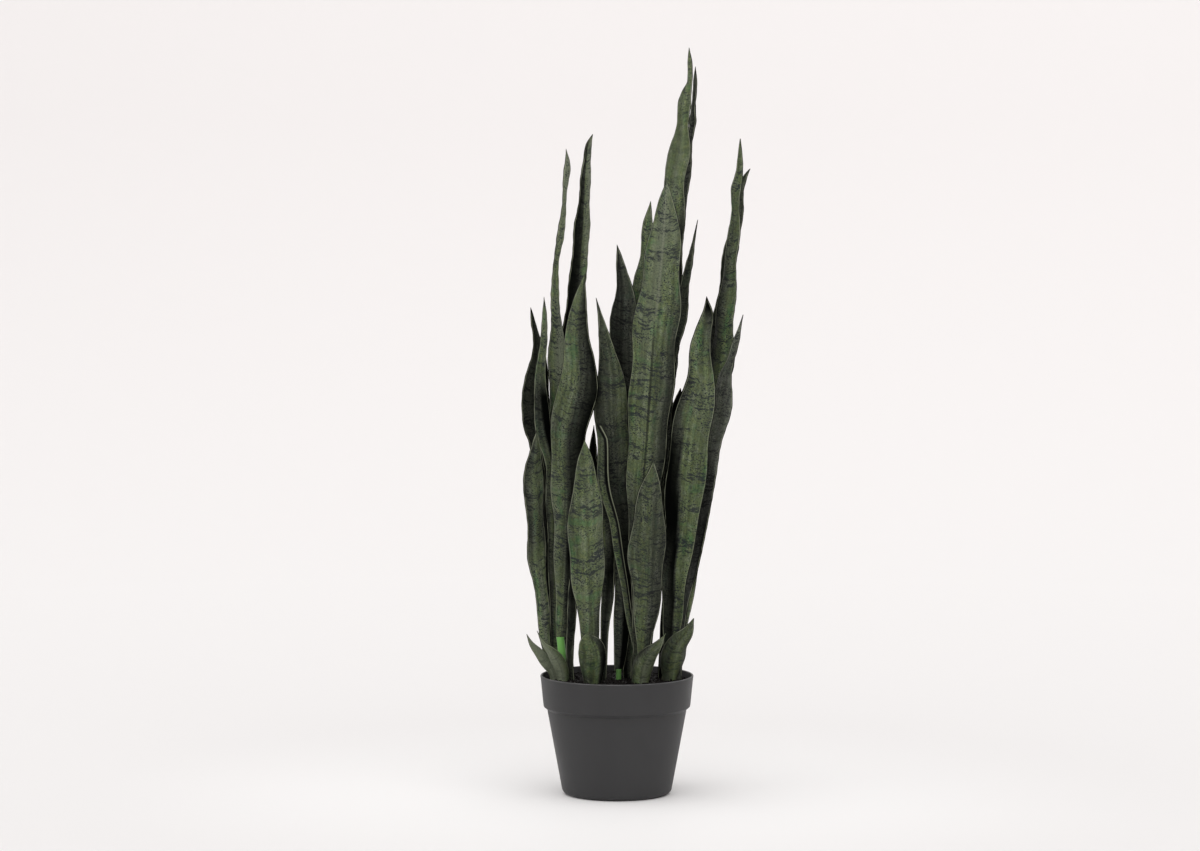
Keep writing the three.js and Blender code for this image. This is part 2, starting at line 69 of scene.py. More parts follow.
POT_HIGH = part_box("pot")[1]
POT_HEIGHT = POT_HIGH.z
RIM_RADIUS = POT_HIGH.x
BAND_HEIGHT = 38 * MM
BAND_FOOT = POT_HEIGHT - BAND_HEIGHT
BAND_FOOT_RADIUS = 91.2 * MM
BODY_TOP_RADIUS = 86.4 * MM
BASE_RADIUS = 61.5 * MM
CORNER_RADIUS = 8 * MM
BODY_FOOT_RADIUS = 68.6 * MM
POT_FLOOR = 3 * MM
LIP_RADIUS = 1.3 * MM
BAND_SLOPE_TOP = 1 * MM
BAND_SLOPE_FOOT = 5.5 * MM

# ---------------------------------------------------------------- sizes of the soil

SOIL_SIDES = 96
SOIL_INSET = 3 * MM
SOIL_ROLL = 1.1 * MM
CALM_RIM = 3 * MM
LUMP_MILLIMETRES = 4.5
LUMP_LAYER = 0.5
LEAST_CRUMB = 0.3
CRUMB_RISE = 0.25
CRUMB_BUMPS = 0.22
PALE_CRUMBS = 0.07

# ---------------------------------------------------------------- leaves

# Millimetres and degrees. Each leaf has a fold, the depth of its channel as a part of its
# width, positive where the keel points to the front, and a wave, how far its edges swing. Its
# stations run from the soil to the tip: height, place across, place in depth, width, turn.

FOOT_DEPTH = 18
UPRIGHT_LENGTH = 14
FOOT_FOLD = 0.3
FOLD_LENGTH = 60
FOLD_CURVE = 1.4
WAVE_LENGTH = 78
WAVE_START = 15
WAVE_GROWTH = 70
WAVE_SKEW = 1.1
SCALLOP_SHARE = 0.07
SCALLOP_PACE = 0.83
SCALLOP_SKEW = 2.3
LETTER_PHASE = 0.37
# Each fine ripple's height, its length, how many times it takes the leaf's phase, and its skew.
RIPPLES = ((1, 17, 1, 1.9), (0.6, 9.7, 1.7, 0.8))
LINE_DIVISIONS = 400
NEAR_SHARE = 1e-4
TIP_WIDTH = 0.5
CALM_WIDTH = 9

LEAVES = {
    # centre clump
    "leaf_centre_tall": dict(fold=0.14, wave=2.6, dye="green", stations=(
        (142, 24, 30, 13, -8), (263, 33, 36, 27, -16), (425, 43.3, 42, 33, -24),
        (575, 58.6, 47, 38.6, -28), (641, 62.4, 50, 34.6, -27), (686, 67, 52, 34.6, -26),
        (758, 70.2, 55, 29.6, -22), (798, 78, 57, 28, -16), (828, 81.4, 58, 16.2, -14),
        (856, 83.4, 59, 17.2, -20), (870, 86, 60, 13, -24), (882, 90, 60, 8, -26),
        (904, 91, 61, 8, -26), (926, 90, 62, 0, -20))),
    "leaf_centre_tall_back": dict(fold=0.14, wave=2, dye="dark", stations=(
        (142, 33, 45, 11, -8), (248, 39, 54, 22, -18), (412, 49, 64, 34, -28),
        (562, 59, 72, 36, -32), (668, 68.2, 79, 24.5, -30), (764, 85, 85, 15.4, -26),
        (805, 91, 88, 9, -36), (834, 95, 90, 10, -34), (852, 95, 91, 8, -62),
        (880, 98, 93, 7, -30), (904, 99, 95, 0, -10))),
    "leaf_centre_broad": dict(fold=0.15, wave=2.2, dye="green", stations=(
        (142, 26, 2, 15, 0), (179, 28, -1, 17, 0), (266, 30, -6, 28, -2), (355, 31, -11, 39, -6),
        (465, 38, -17, 53, -9), (587, 47, -20, 57, -12), (643, 53, -22, 50, -14),
        (692, 57, -23, 39, -14), (726, 59, -24, 26, -14), (759, 61, -24, 0, -12))),
    "leaf_centre_right": dict(fold=0.12, wave=1.4, dye="dark", stations=(
        (142, 35, 19, 12, -4), (225, 39, 17, 18, -8), (300, 45, 15, 25, -16),
        (413, 47, 17, 26.6, -26), (503, 55.2, 17, 29.2, -28), (554, 65, 17, 25.8, -28),
        (600, 77.5, 16, 21, -28), (637, 85, 16, 12.4, -34), (675, 92.3, 15, 6.8, -42),
        (712, 100, 15, 0, -40))),
    "leaf_centre_left": dict(fold=0.13, wave=1.8, dye="green", stations=(
        (142, 13, 24, 11, -4), (263, 17, 28, 21, -10), (426, 27, 34, 32, -20),
        (550, 33, 37, 36, -24), (624, 35, 38, 35, -22), (662, 39, 38, 27, -18),
        (701, 38, 38, 15, -16), (735, 42, 38, 0, -14))),
    "leaf_centre_grey": dict(fold=0.13, wave=1.6, dye="dark", on_stalk=True, stations=(
        (150, 2.4, 12, 12, 0), (178, 5, 12, 18, -2), (227, 7.4, 13, 23.2, -6),
        (314, 9.6, 16, 28, -12), (426, 10, 20, 32, -20), (525, 6, 22, 37, -24),
        (590, 7, 23, 35, -24), (627, 8, 24, 24, -22), (658, 4, 25, 11, -20),
        (681, 0, 26, 0, -20))),
    "leaf_centre_folded": dict(fold=0.2, wave=1.6, dye="green", stations=(
        (142, 27, 10, 13, 0), (178, 27, 8, 15, 0), (225, 21, 7, 22, 4), (279, 15, 5, 28, 10),
        (331, 9, 3, 34, 14), (380, 0, 1, 41, 16), (447, -3, -1, 44, 16), (495, -6, -3, 40, 14),
        (525, -8, -4, 32, 12), (555, -12, -5, 19, 14), (585, -18.8, -6, 9, 18),
        (616, -26, -8, 0, 20))),
    "leaf_centre_small": dict(fold=0.16, wave=1, dye="dark", stations=(
        (142, -17, 8, 9, 0), (201, -15.3, 10, 10.6, -8), (252, -12.2, 14, 17, -16),
        (302, -13.4, 17, 21.6, -22), (364, -20, 19, 21, -26), (408, -29, 20.5, 12, -28),
        (430, -30.2, 21, 9.6, -28), (457, -28.5, 22, 0, -28))),
    "leaf_centre_short": dict(fold=0.15, wave=1.8, dye="green", stations=(
        (142, 32, -10, 13, 0), (187, 33.3, -15, 18.6, 2), (223, 35.6, -22, 30.2, 6),
        (269, 38, -31, 42, 12), (306, 38, -38, 47, 14), (346, 40, -45, 42, 16),
        (383, 42, -50, 27, 16), (419, 44, -55, 0, 14))),
    "leaf_centre_curl": dict(fold=0.2, wave=0.6, dye="green", stations=(
        (142, 29, -22, 21, 0), (159, 31, -26, 25, -6), (175, 38, -31, 21, -12),
        (189, 50, -37, 11, -16), (205, 60, -43, 0, -16))),
    # left clump
    "leaf_left_tall_thin": dict(fold=0.14, wave=2.2, dye="green", stations=(
        (142, -63, 31, 9, 6), (288, -66, 29, 21, 20), (400, -68, 27, 28, 30),
        (490, -70, 25, 28, 32), (535, -72.4, 24, 27, 32), (580, -73.5, 22, 18.4, 34),
        (620, -76, 20, 10.8, 38), (651, -75.4, 18, 11, 38), (687, -69.4, 16, 9.6, 36),
        (706, -67.7, 15, 8.2, 38), (742, -63.8, 13, 9, 38), (778, -60.7, 11, 7.4, 34),
        (799, -63, 10, 0, 30))),
    "leaf_left_tall": dict(fold=0.18, wave=2.4, dye="green", stations=(
        (142, -59.5, 36, 9, 4), (200, -58.5, 39, 13, 8), (262, -56.5, 43, 19, 16),
        (387, -52, 52, 30, 28), (500, -54, 57, 34, 32), (583, -52.6, 61, 28.8, 34),
        (642, -46, 64, 24.6, 34), (699, -41.6, 66, 24.6, 32), (727, -40.3, 67, 16.4, 28),
        (761, -37.6, 69, 16.6, 26), (786, -36.6, 70, 9, 24), (805, -35, 71, 8, 20),
        (819, -30, 72, 0, 10))),
    "leaf_left_broad": dict(fold=0.16, wave=2.2, dye="green", on_stalk=True, stations=(
        (182, -69.2, 14, 8, 0), (194, -69, 13, 15, 0), (244, -65, 8, 24, -2),
        (309, -62, 2, 35, -6), (376, -60, -4, 45, -8), (442, -61.5, -9, 46, -10),
        (485, -54.5, -12, 50, -12), (507, -50, -14, 51, -12), (537, -48, -16, 42, -14),
        (565, -50, -18, 32, -14), (595, -49, -20, 23, -14), (620, -45, -22, 14, -12),
        (646, -39, -24, 0, -12))),
    "leaf_left_narrow": dict(fold=0.16, wave=0.6, dye="dark", stations=(
        (142, -57, 8, 9, 0), (178, -59, 5, 9, 0), (208, -57, 0, 12, -10), (235, -56, -4, 12, -16),
        (254, -57, -7, 8, -16), (276, -58, -10, 0, -16))),
    "leaf_left_short": dict(fold=0.15, wave=1.8, dye="green", stations=(
        (142, -32, -12, 14, 0), (201, -33.6, -19, 24, 4), (237, -34, -25, 31, 8),
        (277, -36, -32, 43, 12), (312, -36, -39, 48, 14), (350, -37, -46, 43, 14),
        (381, -38, -52, 35, 12), (418, -38, -58, 20, 10), (444, -40, -62, 0, 10))),
    "leaf_left_basal": dict(fold=0.14, wave=0.6, dye="green", stations=(
        (142, -29.9, -26, 21.5, 0), (161, -29.8, -29, 31, 4), (180, -30.3, -34, 34, 6),
        (193, -34.4, -38, 26, 6), (200, -36.4, -40, 15, 6), (206, -36, -42, 0, 6))),
    # far left clump
    "leaf_far_left_dark": dict(fold=0.15, wave=2, dye="dark", stations=(
        (142, -71, 44, 9, 12), (173, -75, 47, 12, 16), (236, -86, 50, 20, 22),
        (336, -96, 55, 25, 28), (428, -96.5, 61, 24, 30), (441, -98.4, 62, 25, 30),
        (456, -102.3, 63, 29.4, 30), (487, -106, 65, 30, 30), (536, -98.6, 69, 17.6, 32),
        (564, -100, 71, 13, 34), (583, -104, 73, 8, 34), (602, -108, 75, 0, 30))),
    "leaf_far_left_thin": dict(fold=0.1, wave=1.4, dye="green", stations=(
        (142, -76, 29, 9, 6), (175, -77, 27, 11, 8), (250, -77, 20, 16, 14),
        (341, -78, 15, 20, 18), (407, -80, 13, 20, 22), (451, -90, 9, 21, 24),
        (491, -94, 4, 21, 26), (537, -93, 2, 12, 30), (565, -90, 1, 11, 30), (593, -89, 0, 7, 30),
        (617, -90, -1, 0, 30))),
    "leaf_far_left_inner": dict(fold=0.12, wave=1.2, dye="dark", stations=(
        (142, -61.5, 44, 8, 4), (190, -68, 44, 11, 6), (235, -70, 45, 14, 10),
        (324, -77, 44, 20, 22), (412, -83, 41, 22, 28), (472, -90, 37, 20, 30),
        (516, -90, 36, 13, 30), (546, -89, 36, 0, 30))),
    "leaf_far_left_front": dict(fold=0.18, wave=1.8, dye="green", stations=(
        (142, -76, 20, 10, 4), (183, -88, 15, 12, 8), (224, -91, 10, 16, 14),
        (265, -94.6, 4, 19.2, 20), (298, -98, -1, 24, 24), (366, -100, -10, 25, 26),
        (403, -102, -15, 26, 28), (432, -99, -19, 14, 28), (454, -99, -22, 0, 28))),
    "leaf_far_left_curl": dict(fold=0.2, wave=0.5, dye="green", stations=(
        (142, -77, 8, 11, 6), (150, -79, 8, 12, 6), (162, -88, 6, 13, 10), (173, -95, 4, 12, 14),
        (186, -106, 1, 6, 16), (199, -112, -2, 0, 16))),
    "leaf_far_left_lip": dict(fold=0.22, wave=0.5, dye="green", stations=(
        (142, -67, 0, 15, 0), (151, -68, -1, 17, 2), (164, -73, -4, 17, 6), (177, -81, -8, 12, 10),
        (187, -90, -12, 6, 12), (205, -99, -17, 0, 12))),
    # right clump
    "leaf_right_small": dict(fold=0.14, wave=1, dye="dark", stations=(
        (142, 56, 27, 10, 0), (262, 66, 28, 18, -10), (363, 74, 27, 23, -18),
        (440, 74.4, 26, 20.6, -20), (478, 76.2, 26, 18, -22), (503, 79, 26, 0, -22))),
    "leaf_right_broad": dict(fold=-0.16, wave=2, dye="green", stations=(
        (142, 62, 14, 14, 0), (177, 66, 12, 17, -4), (231, 70, 8, 29, -10), (284, 74, 3, 35, -14),
        (343, 82, -2, 46, -16), (398, 87, -7, 52, -16), (449, 93, -11, 51, -16),
        (483, 99, -14, 47, -16), (519, 104, -17, 36, -16), (553, 104, -19, 28, -16),
        (576, 107, -21, 20, -16), (597, 111.2, -23, 14.4, -14), (618, 109.6, -24, 0, -12))),
    "leaf_right_low": dict(fold=0.14, wave=1.4, dye="dark", stations=(
        (142, 76, 14, 10, 0), (176, 77, 17, 11, -6), (228, 81.6, 18, 13.2, -12),
        (283, 90.7, 17, 21.4, -18), (351, 102, 15, 28, -24), (420, 113.2, 13, 27, -28),
        (476, 126.5, 11, 28.6, -28), (518, 133.2, 9, 20, -28), (537, 140.2, 8, 11.2, -30),
        (563, 147, 7, 8, -34), (595, 156, 6, 0, -30))),
    "leaf_right_tall": dict(fold=0.15, wave=2.6, dye="green", stations=(
        (142, 71, 27, 11, 0), (237, 86, 33, 17, -12), (325, 98, 37, 25, -20),
        (437, 112, 42, 31, -28), (537, 128, 46, 34, -30), (614, 136.2, 49, 22.4, -28),
        (650, 139.9, 51, 19.8, -28), (689, 145, 53, 16, -26), (720, 147, 54, 13, -26),
        (749, 148, 55, 15, -28), (768, 152, 56, 9, -28), (794, 153.3, 58, 6.4, -26),
        (813, 154, 60, 0, -20))),
    "leaf_right_tall_back": dict(fold=0.13, wave=2, dye="dark", stations=(
        (142, 65, 40, 10, 0), (236, 81, 50, 16, -14), (361, 101, 60, 24, -26),
        (486, 118, 68, 28, -32), (611, 134, 76, 26, -34), (689, 145, 82, 18, -32),
        (720, 152.4, 84, 16.6, -32), (749, 154.4, 87, 10.2, -30), (767, 161.6, 89, 6, -26),
        (776, 168, 90, 0, -20))),
    "leaf_right_curl": dict(fold=0.2, wave=0.8, dye="green", stations=(
        (142, 66, 3, 17, 0), (150, 67, 3, 24, 0), (166, 68.4, 0, 30.6, -6), (185, 74, -6, 25, -10),
        (202, 87, -13, 15, -12), (221, 95, -20, 0, -12))),
}

# How a leaf is finished. shade: how dark the leaf is at a share of its length, or how pale where
# it is below 0, given at its left edge, on the left and on the right of the fold, and at its right
# edge. The dark is partly the leaf's darker print and partly painted shade, where the leaf turns
# from the light or lies in the shadow of others; the pale is painted light. crease: painted shade
# along the fold's line, or a painted highlight along it where it is below 0. rib: where the fold
# lies between the left edge (-1) and the right edge (1). sheath: the angle that a basal leaf wraps
# round its clump, in degrees, at foot and tip. inked: how strong the print is at a share of the
# leaf's length. grey: how far the leaf's green is greyed.
FINISH = {
    "leaf_centre_tall": dict(
        shade=((0, 0.4, 0.2, 0.2, 0.4), (0.7, 0.6, 0.3, 0.8, 0.95), (0.76, 0.5, -0.3, -0.7, 0.45),
               (0.87, 0.4, -0.2, -0.3, 0.35), (0.93, 0.3, -0.4, 0.1, 0.2), (1, 0, -0.6, 0, 0)),
        inked=((0, 1), (0.76, 1), (0.8, 0.3), (0.87, 0.3), (0.91, 1), (1, 1))),
    "leaf_centre_tall_back": dict(
        shade=((0, 0.8, 0.8, 0.85, 0.85), (0.75, 0.65, 0.65, 0.6, 0.4), (1, 0.7, 0.6, 0.7, 0.75)),
        grey=0.3),
    "leaf_centre_broad": dict(
        shade=((0, 0.5, 0.4, 0.4, 0.7), (0.25, 0.9, 0.3, 0.3, 0.75), (0.42, 0.3, 0.05, 0.15, 0.9),
               (0.58, 0.25, -0.3, 0, 0.9), (0.75, -0.1, -0.5, -0.2, 0.55),
               (0.9, 0.2, -1, -0.7, -0.2), (1, 0.2, -1, -0.8, -0.2)),
        crease=((0, 0.4), (0.45, 0.75), (0.68, 0.7), (0.74, -0.25), (1, -0.25))),
    "leaf_centre_right": dict(
        shade=((0, 0.9, 0.85, 0.85, 0.8), (0.75, 0.7, 0.65, 0.65, 0.6), (1, 0.6, 0.6, 0.6, 0.65))),
    "leaf_centre_left": dict(
        shade=((0, 0.95, 0.9, 0.7, 0.2), (0.7, 0.9, -0.9, 0.2, 0.1),
               (0.85, 0.3, -0.3, -0.2, -0.4), (1, 0, 0.1, 0, -0.6))),
    "leaf_centre_grey": dict(
        shade=((0, 0.4, 0.5, 0.97, 1), (0.3, 0.35, 0.35, 0.95, 1), (0.42, 0.6, 0.75, 0.85, 0.95),
               (0.75, 0.75, 0.8, 0.8, 0.45), (1, 0.85, 0.7, 0.55, 0.3)), grey=0.2),
    "leaf_centre_folded": dict(
        shade=((0, -0.5, 0.2, 0.97, 0.95), (0.25, -0.3, 0.25, 0.97, 0.9),
               (0.42, 0, 0.3, 0.85, 0.75), (0.58, 0.25, 0.4, 0.95, 0.15),
               (0.75, 0.3, 0.5, 0.6, 0.2), (1, 0.7, 0.6, 0.6, 0.35)),
        crease=((0, 1), (0.66, 1), (0.7, 0), (1, 0)),
        rib=((0, -0.3), (0.47, -0.54), (0.63, -0.6), (0.68, -0.98), (1, -0.98))),
    "leaf_centre_small": dict(
        shade=((0, 0.9, 0.9, 0.85, 0.8), (0.25, 0.6, 0.8, 0.8, 0.5), (0.42, 0.3, 0.8, 0.9, 0.95),
               (0.58, 0, 0, 0.3, 0.9), (0.75, 0.8, 0.85, 0.9, 0.95), (1, 0.95, 0.95, 0.95, 0.95))),
    "leaf_centre_short": dict(
        shade=((0, 0.3, 0, 0.5, 0.8), (0.25, 0.3, 0, 0.5, 0.8), (0.75, 0.6, 0.05, 0.55, 0.45),
               (1, 0.5, 0.1, 0.4, 0.3))),
    "leaf_centre_curl": dict(
        shade=((0, 0.6, -0.2, -1.2, 0.3), (0.5, 0.95, 0.2, -0.9, 0.1), (1, 0.7, 0, -0.7, 0.4)),
        sheath=(170, 25), inked=((0, 0.5), (1, 0.5))),
    "leaf_left_tall_thin": dict(
        shade=((0, 0.5, 0.3, 0.2, 0.3), (0.4, 0.5, 0, -0.8, -0.8), (0.58, 0.8, -1.4, -2.8, -2.4),
               (0.75, 0.1, -0.2, -0.1, 0.2), (1, -0.5, -1.2, -1.4, -0.8))),
    "leaf_left_tall": dict(
        shade=((0, 0.95, 0.95, 0.5, 0.6), (0.6, 0.95, 0.97, 0.2, -0.1),
               (0.75, 0.95, 0.8, -0.1, -0.2), (1, 0.9, 0.7, -0.6, -1.8)), rib=((0, 0.9), (1, -0.3))),
    "leaf_left_broad": dict(
        shade=((0, 0.2, 0, 0.25, 0.35), (0.25, -0.8, 0.65, 1, 1), (0.42, -0.5, 0.35, 0.85, 1),
               (0.58, 0.45, 0.25, 0.7, 1), (0.75, -0.1, -0.1, 0.5, 0.97),
               (1, 0, -0.1, 0.25, 0.95))),
    "leaf_left_narrow": dict(
        shade=((0, 0.9, 0.75, 0.6, 0.4), (1, 0.6, 0.9, 0.97, 1))),
    "leaf_left_short": dict(
        shade=((0, 0.15, 0, 0.1, 0.6), (0.25, 0.1, -0.5, -0.1, 0.9), (0.42, 0, 0, 0.1, -0.4),
               (0.58, 0.2, 0.1, 0.25, -0.7), (0.75, 0.35, -0.2, -0.4, 0.1),
               (1, 0.2, 0.1, 0.35, 0.1))),
    "leaf_left_basal": dict(
        shade=((0, 0.7, 0, 0.85, 1), (0.5, 0.3, -0.2, 0.8, 1), (0.8, 0, -0.1, 0.5, 0.7),
               (1, -0.2, 0, 0.3, 0.4)),
        rib=((0, 0.4), (0.6, 0.45), (1, 0.2)), sheath=(175, 30), inked=((0, 0.6), (1, 0.6))),
    "leaf_far_left_dark": dict(
        shade=((0, 0.9, 0.9, 0.9, 0.9), (0.75, 0.75, 0.75, 0.75, 0.75), (1, 0.95, 0.8, 0.75, 0.7))),
    "leaf_far_left_thin": dict(
        shade=((0, 0.7, 0.35, 0.1, 0.1), (0.25, 0.9, 0.4, -1.6, 0.6), (0.42, 1, -0.1, 0.5, 0.95),
               (0.58, 0.2, 0.4, 0.95, 0.9), (0.74, 0.65, 0.85, 0.97, 1),
               (0.83, 0.1, 0.2, -0.2, -0.6), (1, 0, 0, -0.8, -1))),
    "leaf_far_left_inner": dict(
        shade=((0, 0.9, 0.9, 0.95, 0.95), (1, 0.9, 0.9, 0.95, 0.95))),
    "leaf_far_left_front": dict(
        shade=((0, 0.1, -0.5, -1.3, -0.3), (0.25, 0.1, -0.4, -1.5, 0.7),
               (0.42, 0.35, -0.3, -0.8, 0.2), (0.58, 0.85, 0.3, 0.2, 0.8),
               (0.75, 0.85, 0.1, 0.25, 0.45), (1, 0.7, 0.5, 0.4, 0))),
    "leaf_far_left_curl": dict(
        shade=((0, -0.4, -1.6, -1.4, -1.5), (1, -0.4, -0.7, -1, -0.8)),
        sheath=(150, 25), inked=((0, 0.3), (1, 0.3))),
    "leaf_far_left_lip": dict(
        shade=((0, -1.5, -2, -1.2, 0.9), (0.5, -1.2, -1.9, -0.9, 0.2),
               (1, -0.9, -1.8, -0.5, -0.4)),
        sheath=(165, 25), inked=((0, 0.3), (1, 0.3))),
    "leaf_right_small": dict(
        shade=((0, 0.95, 0.95, 0.95, 0.95), (1, 0.9, 0.9, 0.95, 0.95))),
    "leaf_right_broad": dict(
        shade=((0, 0.95, 0.8, 0.2, 0.2), (0.25, 0.6, 1, 0.1, 0), (0.42, 1, 0.95, -0.1, 0.1),
               (0.58, 1, 0.8, 0, 0), (0.75, 0.75, 0.3, -0.15, -0.2), (0.93, 0.1, -0.5, 0, 0.7),
               (0.97, 0.5, 0.6, 0.9, 1), (1, 0.95, 0.95, 0.95, 1)),
        rib=((0, 0.3), (1, -0.9))),
    "leaf_right_low": dict(
        shade=((0, 0.3, 0.3, 0.3, 0.4), (0.25, 0.6, 0.5, 0.3, 0.95), (0.42, 0.65, 0.7, 0.7, 0.97),
               (0.58, 0.5, 0.3, 0.75, 0.4), (0.65, 0.1, 0, 0.3, 0.1), (1, 0, 0.1, 0.1, 0)),
        grey=0.6),
    "leaf_right_tall": dict(
        shade=((0, 0.8, 0.7, 0.5, 0.3), (0.5, 0.95, 0.6, 0.3, -0.9), (0.75, 0.9, 0.5, 0.6, 0.1),
               (1, -0.2, -0.1, 0.1, 0)), rib=((0, -0.3), (1, -0.45))),
    "leaf_right_tall_back": dict(
        shade=((0, 0.9, 0.9, 0.9, 0.9), (1, 0.8, 0.75, 0.55, 0.5))),
    "leaf_right_curl": dict(
        shade=((0, 0.5, 0.5, -0.3, 1), (0.5, 0.5, 0.3, -0.7, 0.9), (1, 0.3, 0, -0.6, 0.2)),
        sheath=(175, 30), inked=((0, 0.6), (1, 0.6))),
}
# Unless a leaf's finish says otherwise, a faint painted shade runs along its fold line.
PLAIN_FINISH = dict(
    crease=((0, 0.25), (1, 0.1)), rib=((0, 0), (1, 0)), inked=((0, 1), (1, 1)),
    sheath=None, grey=0)
SHADE_CHANGE = 0.14

CLUMPS = ("centre", "left", "far_left", "right")

# ---------------------------------------------------------------- stalks and light

# Routes and radii are in millimetres. Each stalk holds a leaf in a slot, which goes a little
# deeper than the leaf and is a little wider and thicker.
SLOT_DEPTH = 0.3
SLOT_PLAY = 0.6
END_INSET = 0.6 * MM
END_RISE = 0.35 * MM
STALKS = {
    "stalk_left": dict(holds="leaf_left_broad", radius=5, route=(
        (-64, 16, 124), (-64.6, 16, 143), (-67.6, 15, 168), (-70.4, 13.8, 193))),
    "stalk_centre": dict(holds="leaf_centre_grey", radius=3.4, route=(
        (2, 12, 124), (2, 12, 136), (2.1, 12, 145), (2.3, 12, 153))),
}

KEY_PLACE = (-1.2, -3.5, 3.3)
SENSOR_WIDTH = 36
COVE_SIDES = 128


# ---------------------------------------------------------------- settings

def length_prop(name, description, default):
    return bpy.props.FloatProperty(
        name=name, description=description, default=default, unit="LENGTH", precision=4)


def angle_prop(name, description, degrees):
    return bpy.props.FloatProperty(
        name=name, description=description, default=math.radians(degrees), subtype="ANGLE")


def share_prop(name, description, default):
    return bpy.props.FloatProperty(
        name=name, description=description, default=default, subtype="FACTOR", min=0, max=1)


def strength_prop(name, description, default):
    return bpy.props.FloatProperty(name=name, description=description, default=default, min=0)


def count_prop(name, description, default, least=0, most=3000):
    return bpy.props.IntProperty(
        name=name, description=description, default=default, min=least, max=most)


def colour_prop(name, description, *default):
    return bpy.props.FloatVectorProperty(
        name=name, description=description, default=default, subtype="COLOR", min=0, max=1)


class PotSettings(bpy.types.PropertyGroup):
    """The pot's sizes and finish."""
    sides: count_prop("Sides", "Faces round the pot", 128, 24, 256)
    wall: length_prop("Wall", "Thickness of the pot's wall", 2.4 * MM)
    fillet: length_prop("Fillet", "Radius where the band meets the body", 1.6 * MM)
    colour: colour_prop("Colour", "Colour of the plastic", 0.034, 0.034, 0.035)
    # the colour of wear and scuffs, and of the painted highlight along the lip
    worn_and_highlit: colour_prop("Rubbed colour", "Colour where it is rubbed", 0.095, 0.095, 0.096)
    roughness: share_prop("Roughness", "How matt the plastic is", 0.5)


class SoilSettings(bpy.types.PropertyGroup):
    """The soil's surface and crumbs."""
    level: length_prop("Level", "Height of the soil above the table", 140 * MM)
    rings: count_prop("Rings", "Rings of faces across the soil", 26, 6, 60)
    roughen: length_prop("Roughen", "Height of the small lumps", 1.5 * MM)
    crumbs: count_prop("Crumbs", "Loose crumbs on the surface", 1500)
    crumb_size: length_prop("Crumb size", "Radius of the largest crumb", 1.8 * MM)
    seed: count_prop("Seed", "Start of the crumbs' random draw", 11)
    colour: colour_prop("Colour", "Colour of the earth", 0.007, 0.006, 0.0055)
    grit: colour_prop("Grit colour", "Colour of the palest crumbs", 0.07, 0.064, 0.06)


class StalkSettings(bpy.types.PropertyGroup):
    """The moulded stalks."""
    sides: count_prop("Sides", "Faces round a stalk", 40, 8, 64)
    colour: colour_prop("Colour", "Colour of the moulded plastic", 0.16, 0.43, 0.09)


class LeafSettings(bpy.types.PropertyGroup):
    """The leaves' sheet, edges and print."""
    thickness: length_prop("Thickness", "Thickness of a leaf's sheet", 1.0 * MM)
    row_length: length_prop("Row length", "Length of one row of faces", 4.5 * MM)
    columns: count_prop("Columns", "Faces across a leaf", 12, 4, 40)
    ripple: length_prop("Ripple", "How far the edges ripple", 0.6 * MM)
    green: colour_prop("Green", "Main green of the print", 0.086, 0.116, 0.050)
    fresh: colour_prop("Fresh green", "Brighter green patches", 0.054, 0.120, 0.043)
    olive: colour_prop("Olive", "Yellower spots", 0.124, 0.146, 0.044)
    # the pale green is also the colour of painted light, where a leaf's shade is below 0
    pale: colour_prop("Pale green", "Wash beside the bands", 0.150, 0.172, 0.115)
    band: colour_prop("Bands", "Broken cross bands", 0.016, 0.019, 0.025)
    # the deep green is the colour of painted shade, and of the darkest print
    deep: colour_prop("Deep green", "Colour of the darkest parts", 0.002, 0.0023, 0.002)
    # the edge colour is also the painted highlight along a fold
    edge: colour_prop("Edge", "Line inside the cut edge", 0.25, 0.27, 0.19)
    roughness: share_prop("Roughness", "How matt the leaves are", 0.5)


class StageSettings(bpy.types.PropertyGroup):
    """The pale floor, the light and the camera."""
    colour: colour_prop("Floor colour", "Colour of the floor", 0.86, 0.845, 0.84)
    # the near colour is painted light round the pot, where its shadow falls
    near_colour: colour_prop("Near colour", "Floor round the pot", 0.96, 0.95, 0.945)
    # the wall colour is darker than the floor as painted shade, where the key light falls more
    # strongly
    wall_colour: colour_prop("Wall colour", "Wall above the floor", 0.772, 0.747, 0.742)
    wall_distance: length_prop("Wall distance", "From the plant to the wall all round", 7.6)
    wall_bend: length_prop("Wall bend", "Radius between the floor and the wall", 5.0)
    key_strength: strength_prop("Key light", "Strength of the light from the left front", 1.9)
    key_angle: angle_prop("Key width", "How wide the soft light is", 125)
    sky: strength_prop("Sky", "Strength of the even light from all round", 0.68)
    lens: bpy.props.FloatProperty(
        name="Lens", description="Focal length on a 36 mm sensor", default=102.12,
        subtype="DISTANCE_CAMERA")
    camera_distance: length_prop("Camera distance", "From the pot's axis to the camera", 4.2)
    camera_height: length_prop("Camera height", "Camera above the floor", 0.708)
    camera_across: length_prop("Camera across", "Camera to the right of the pot's axis", -0.021)
    camera_tilt: angle_prop("Camera tilt", "How far the camera looks down", 3.41)


# ---------------------------------------------------------------- materials

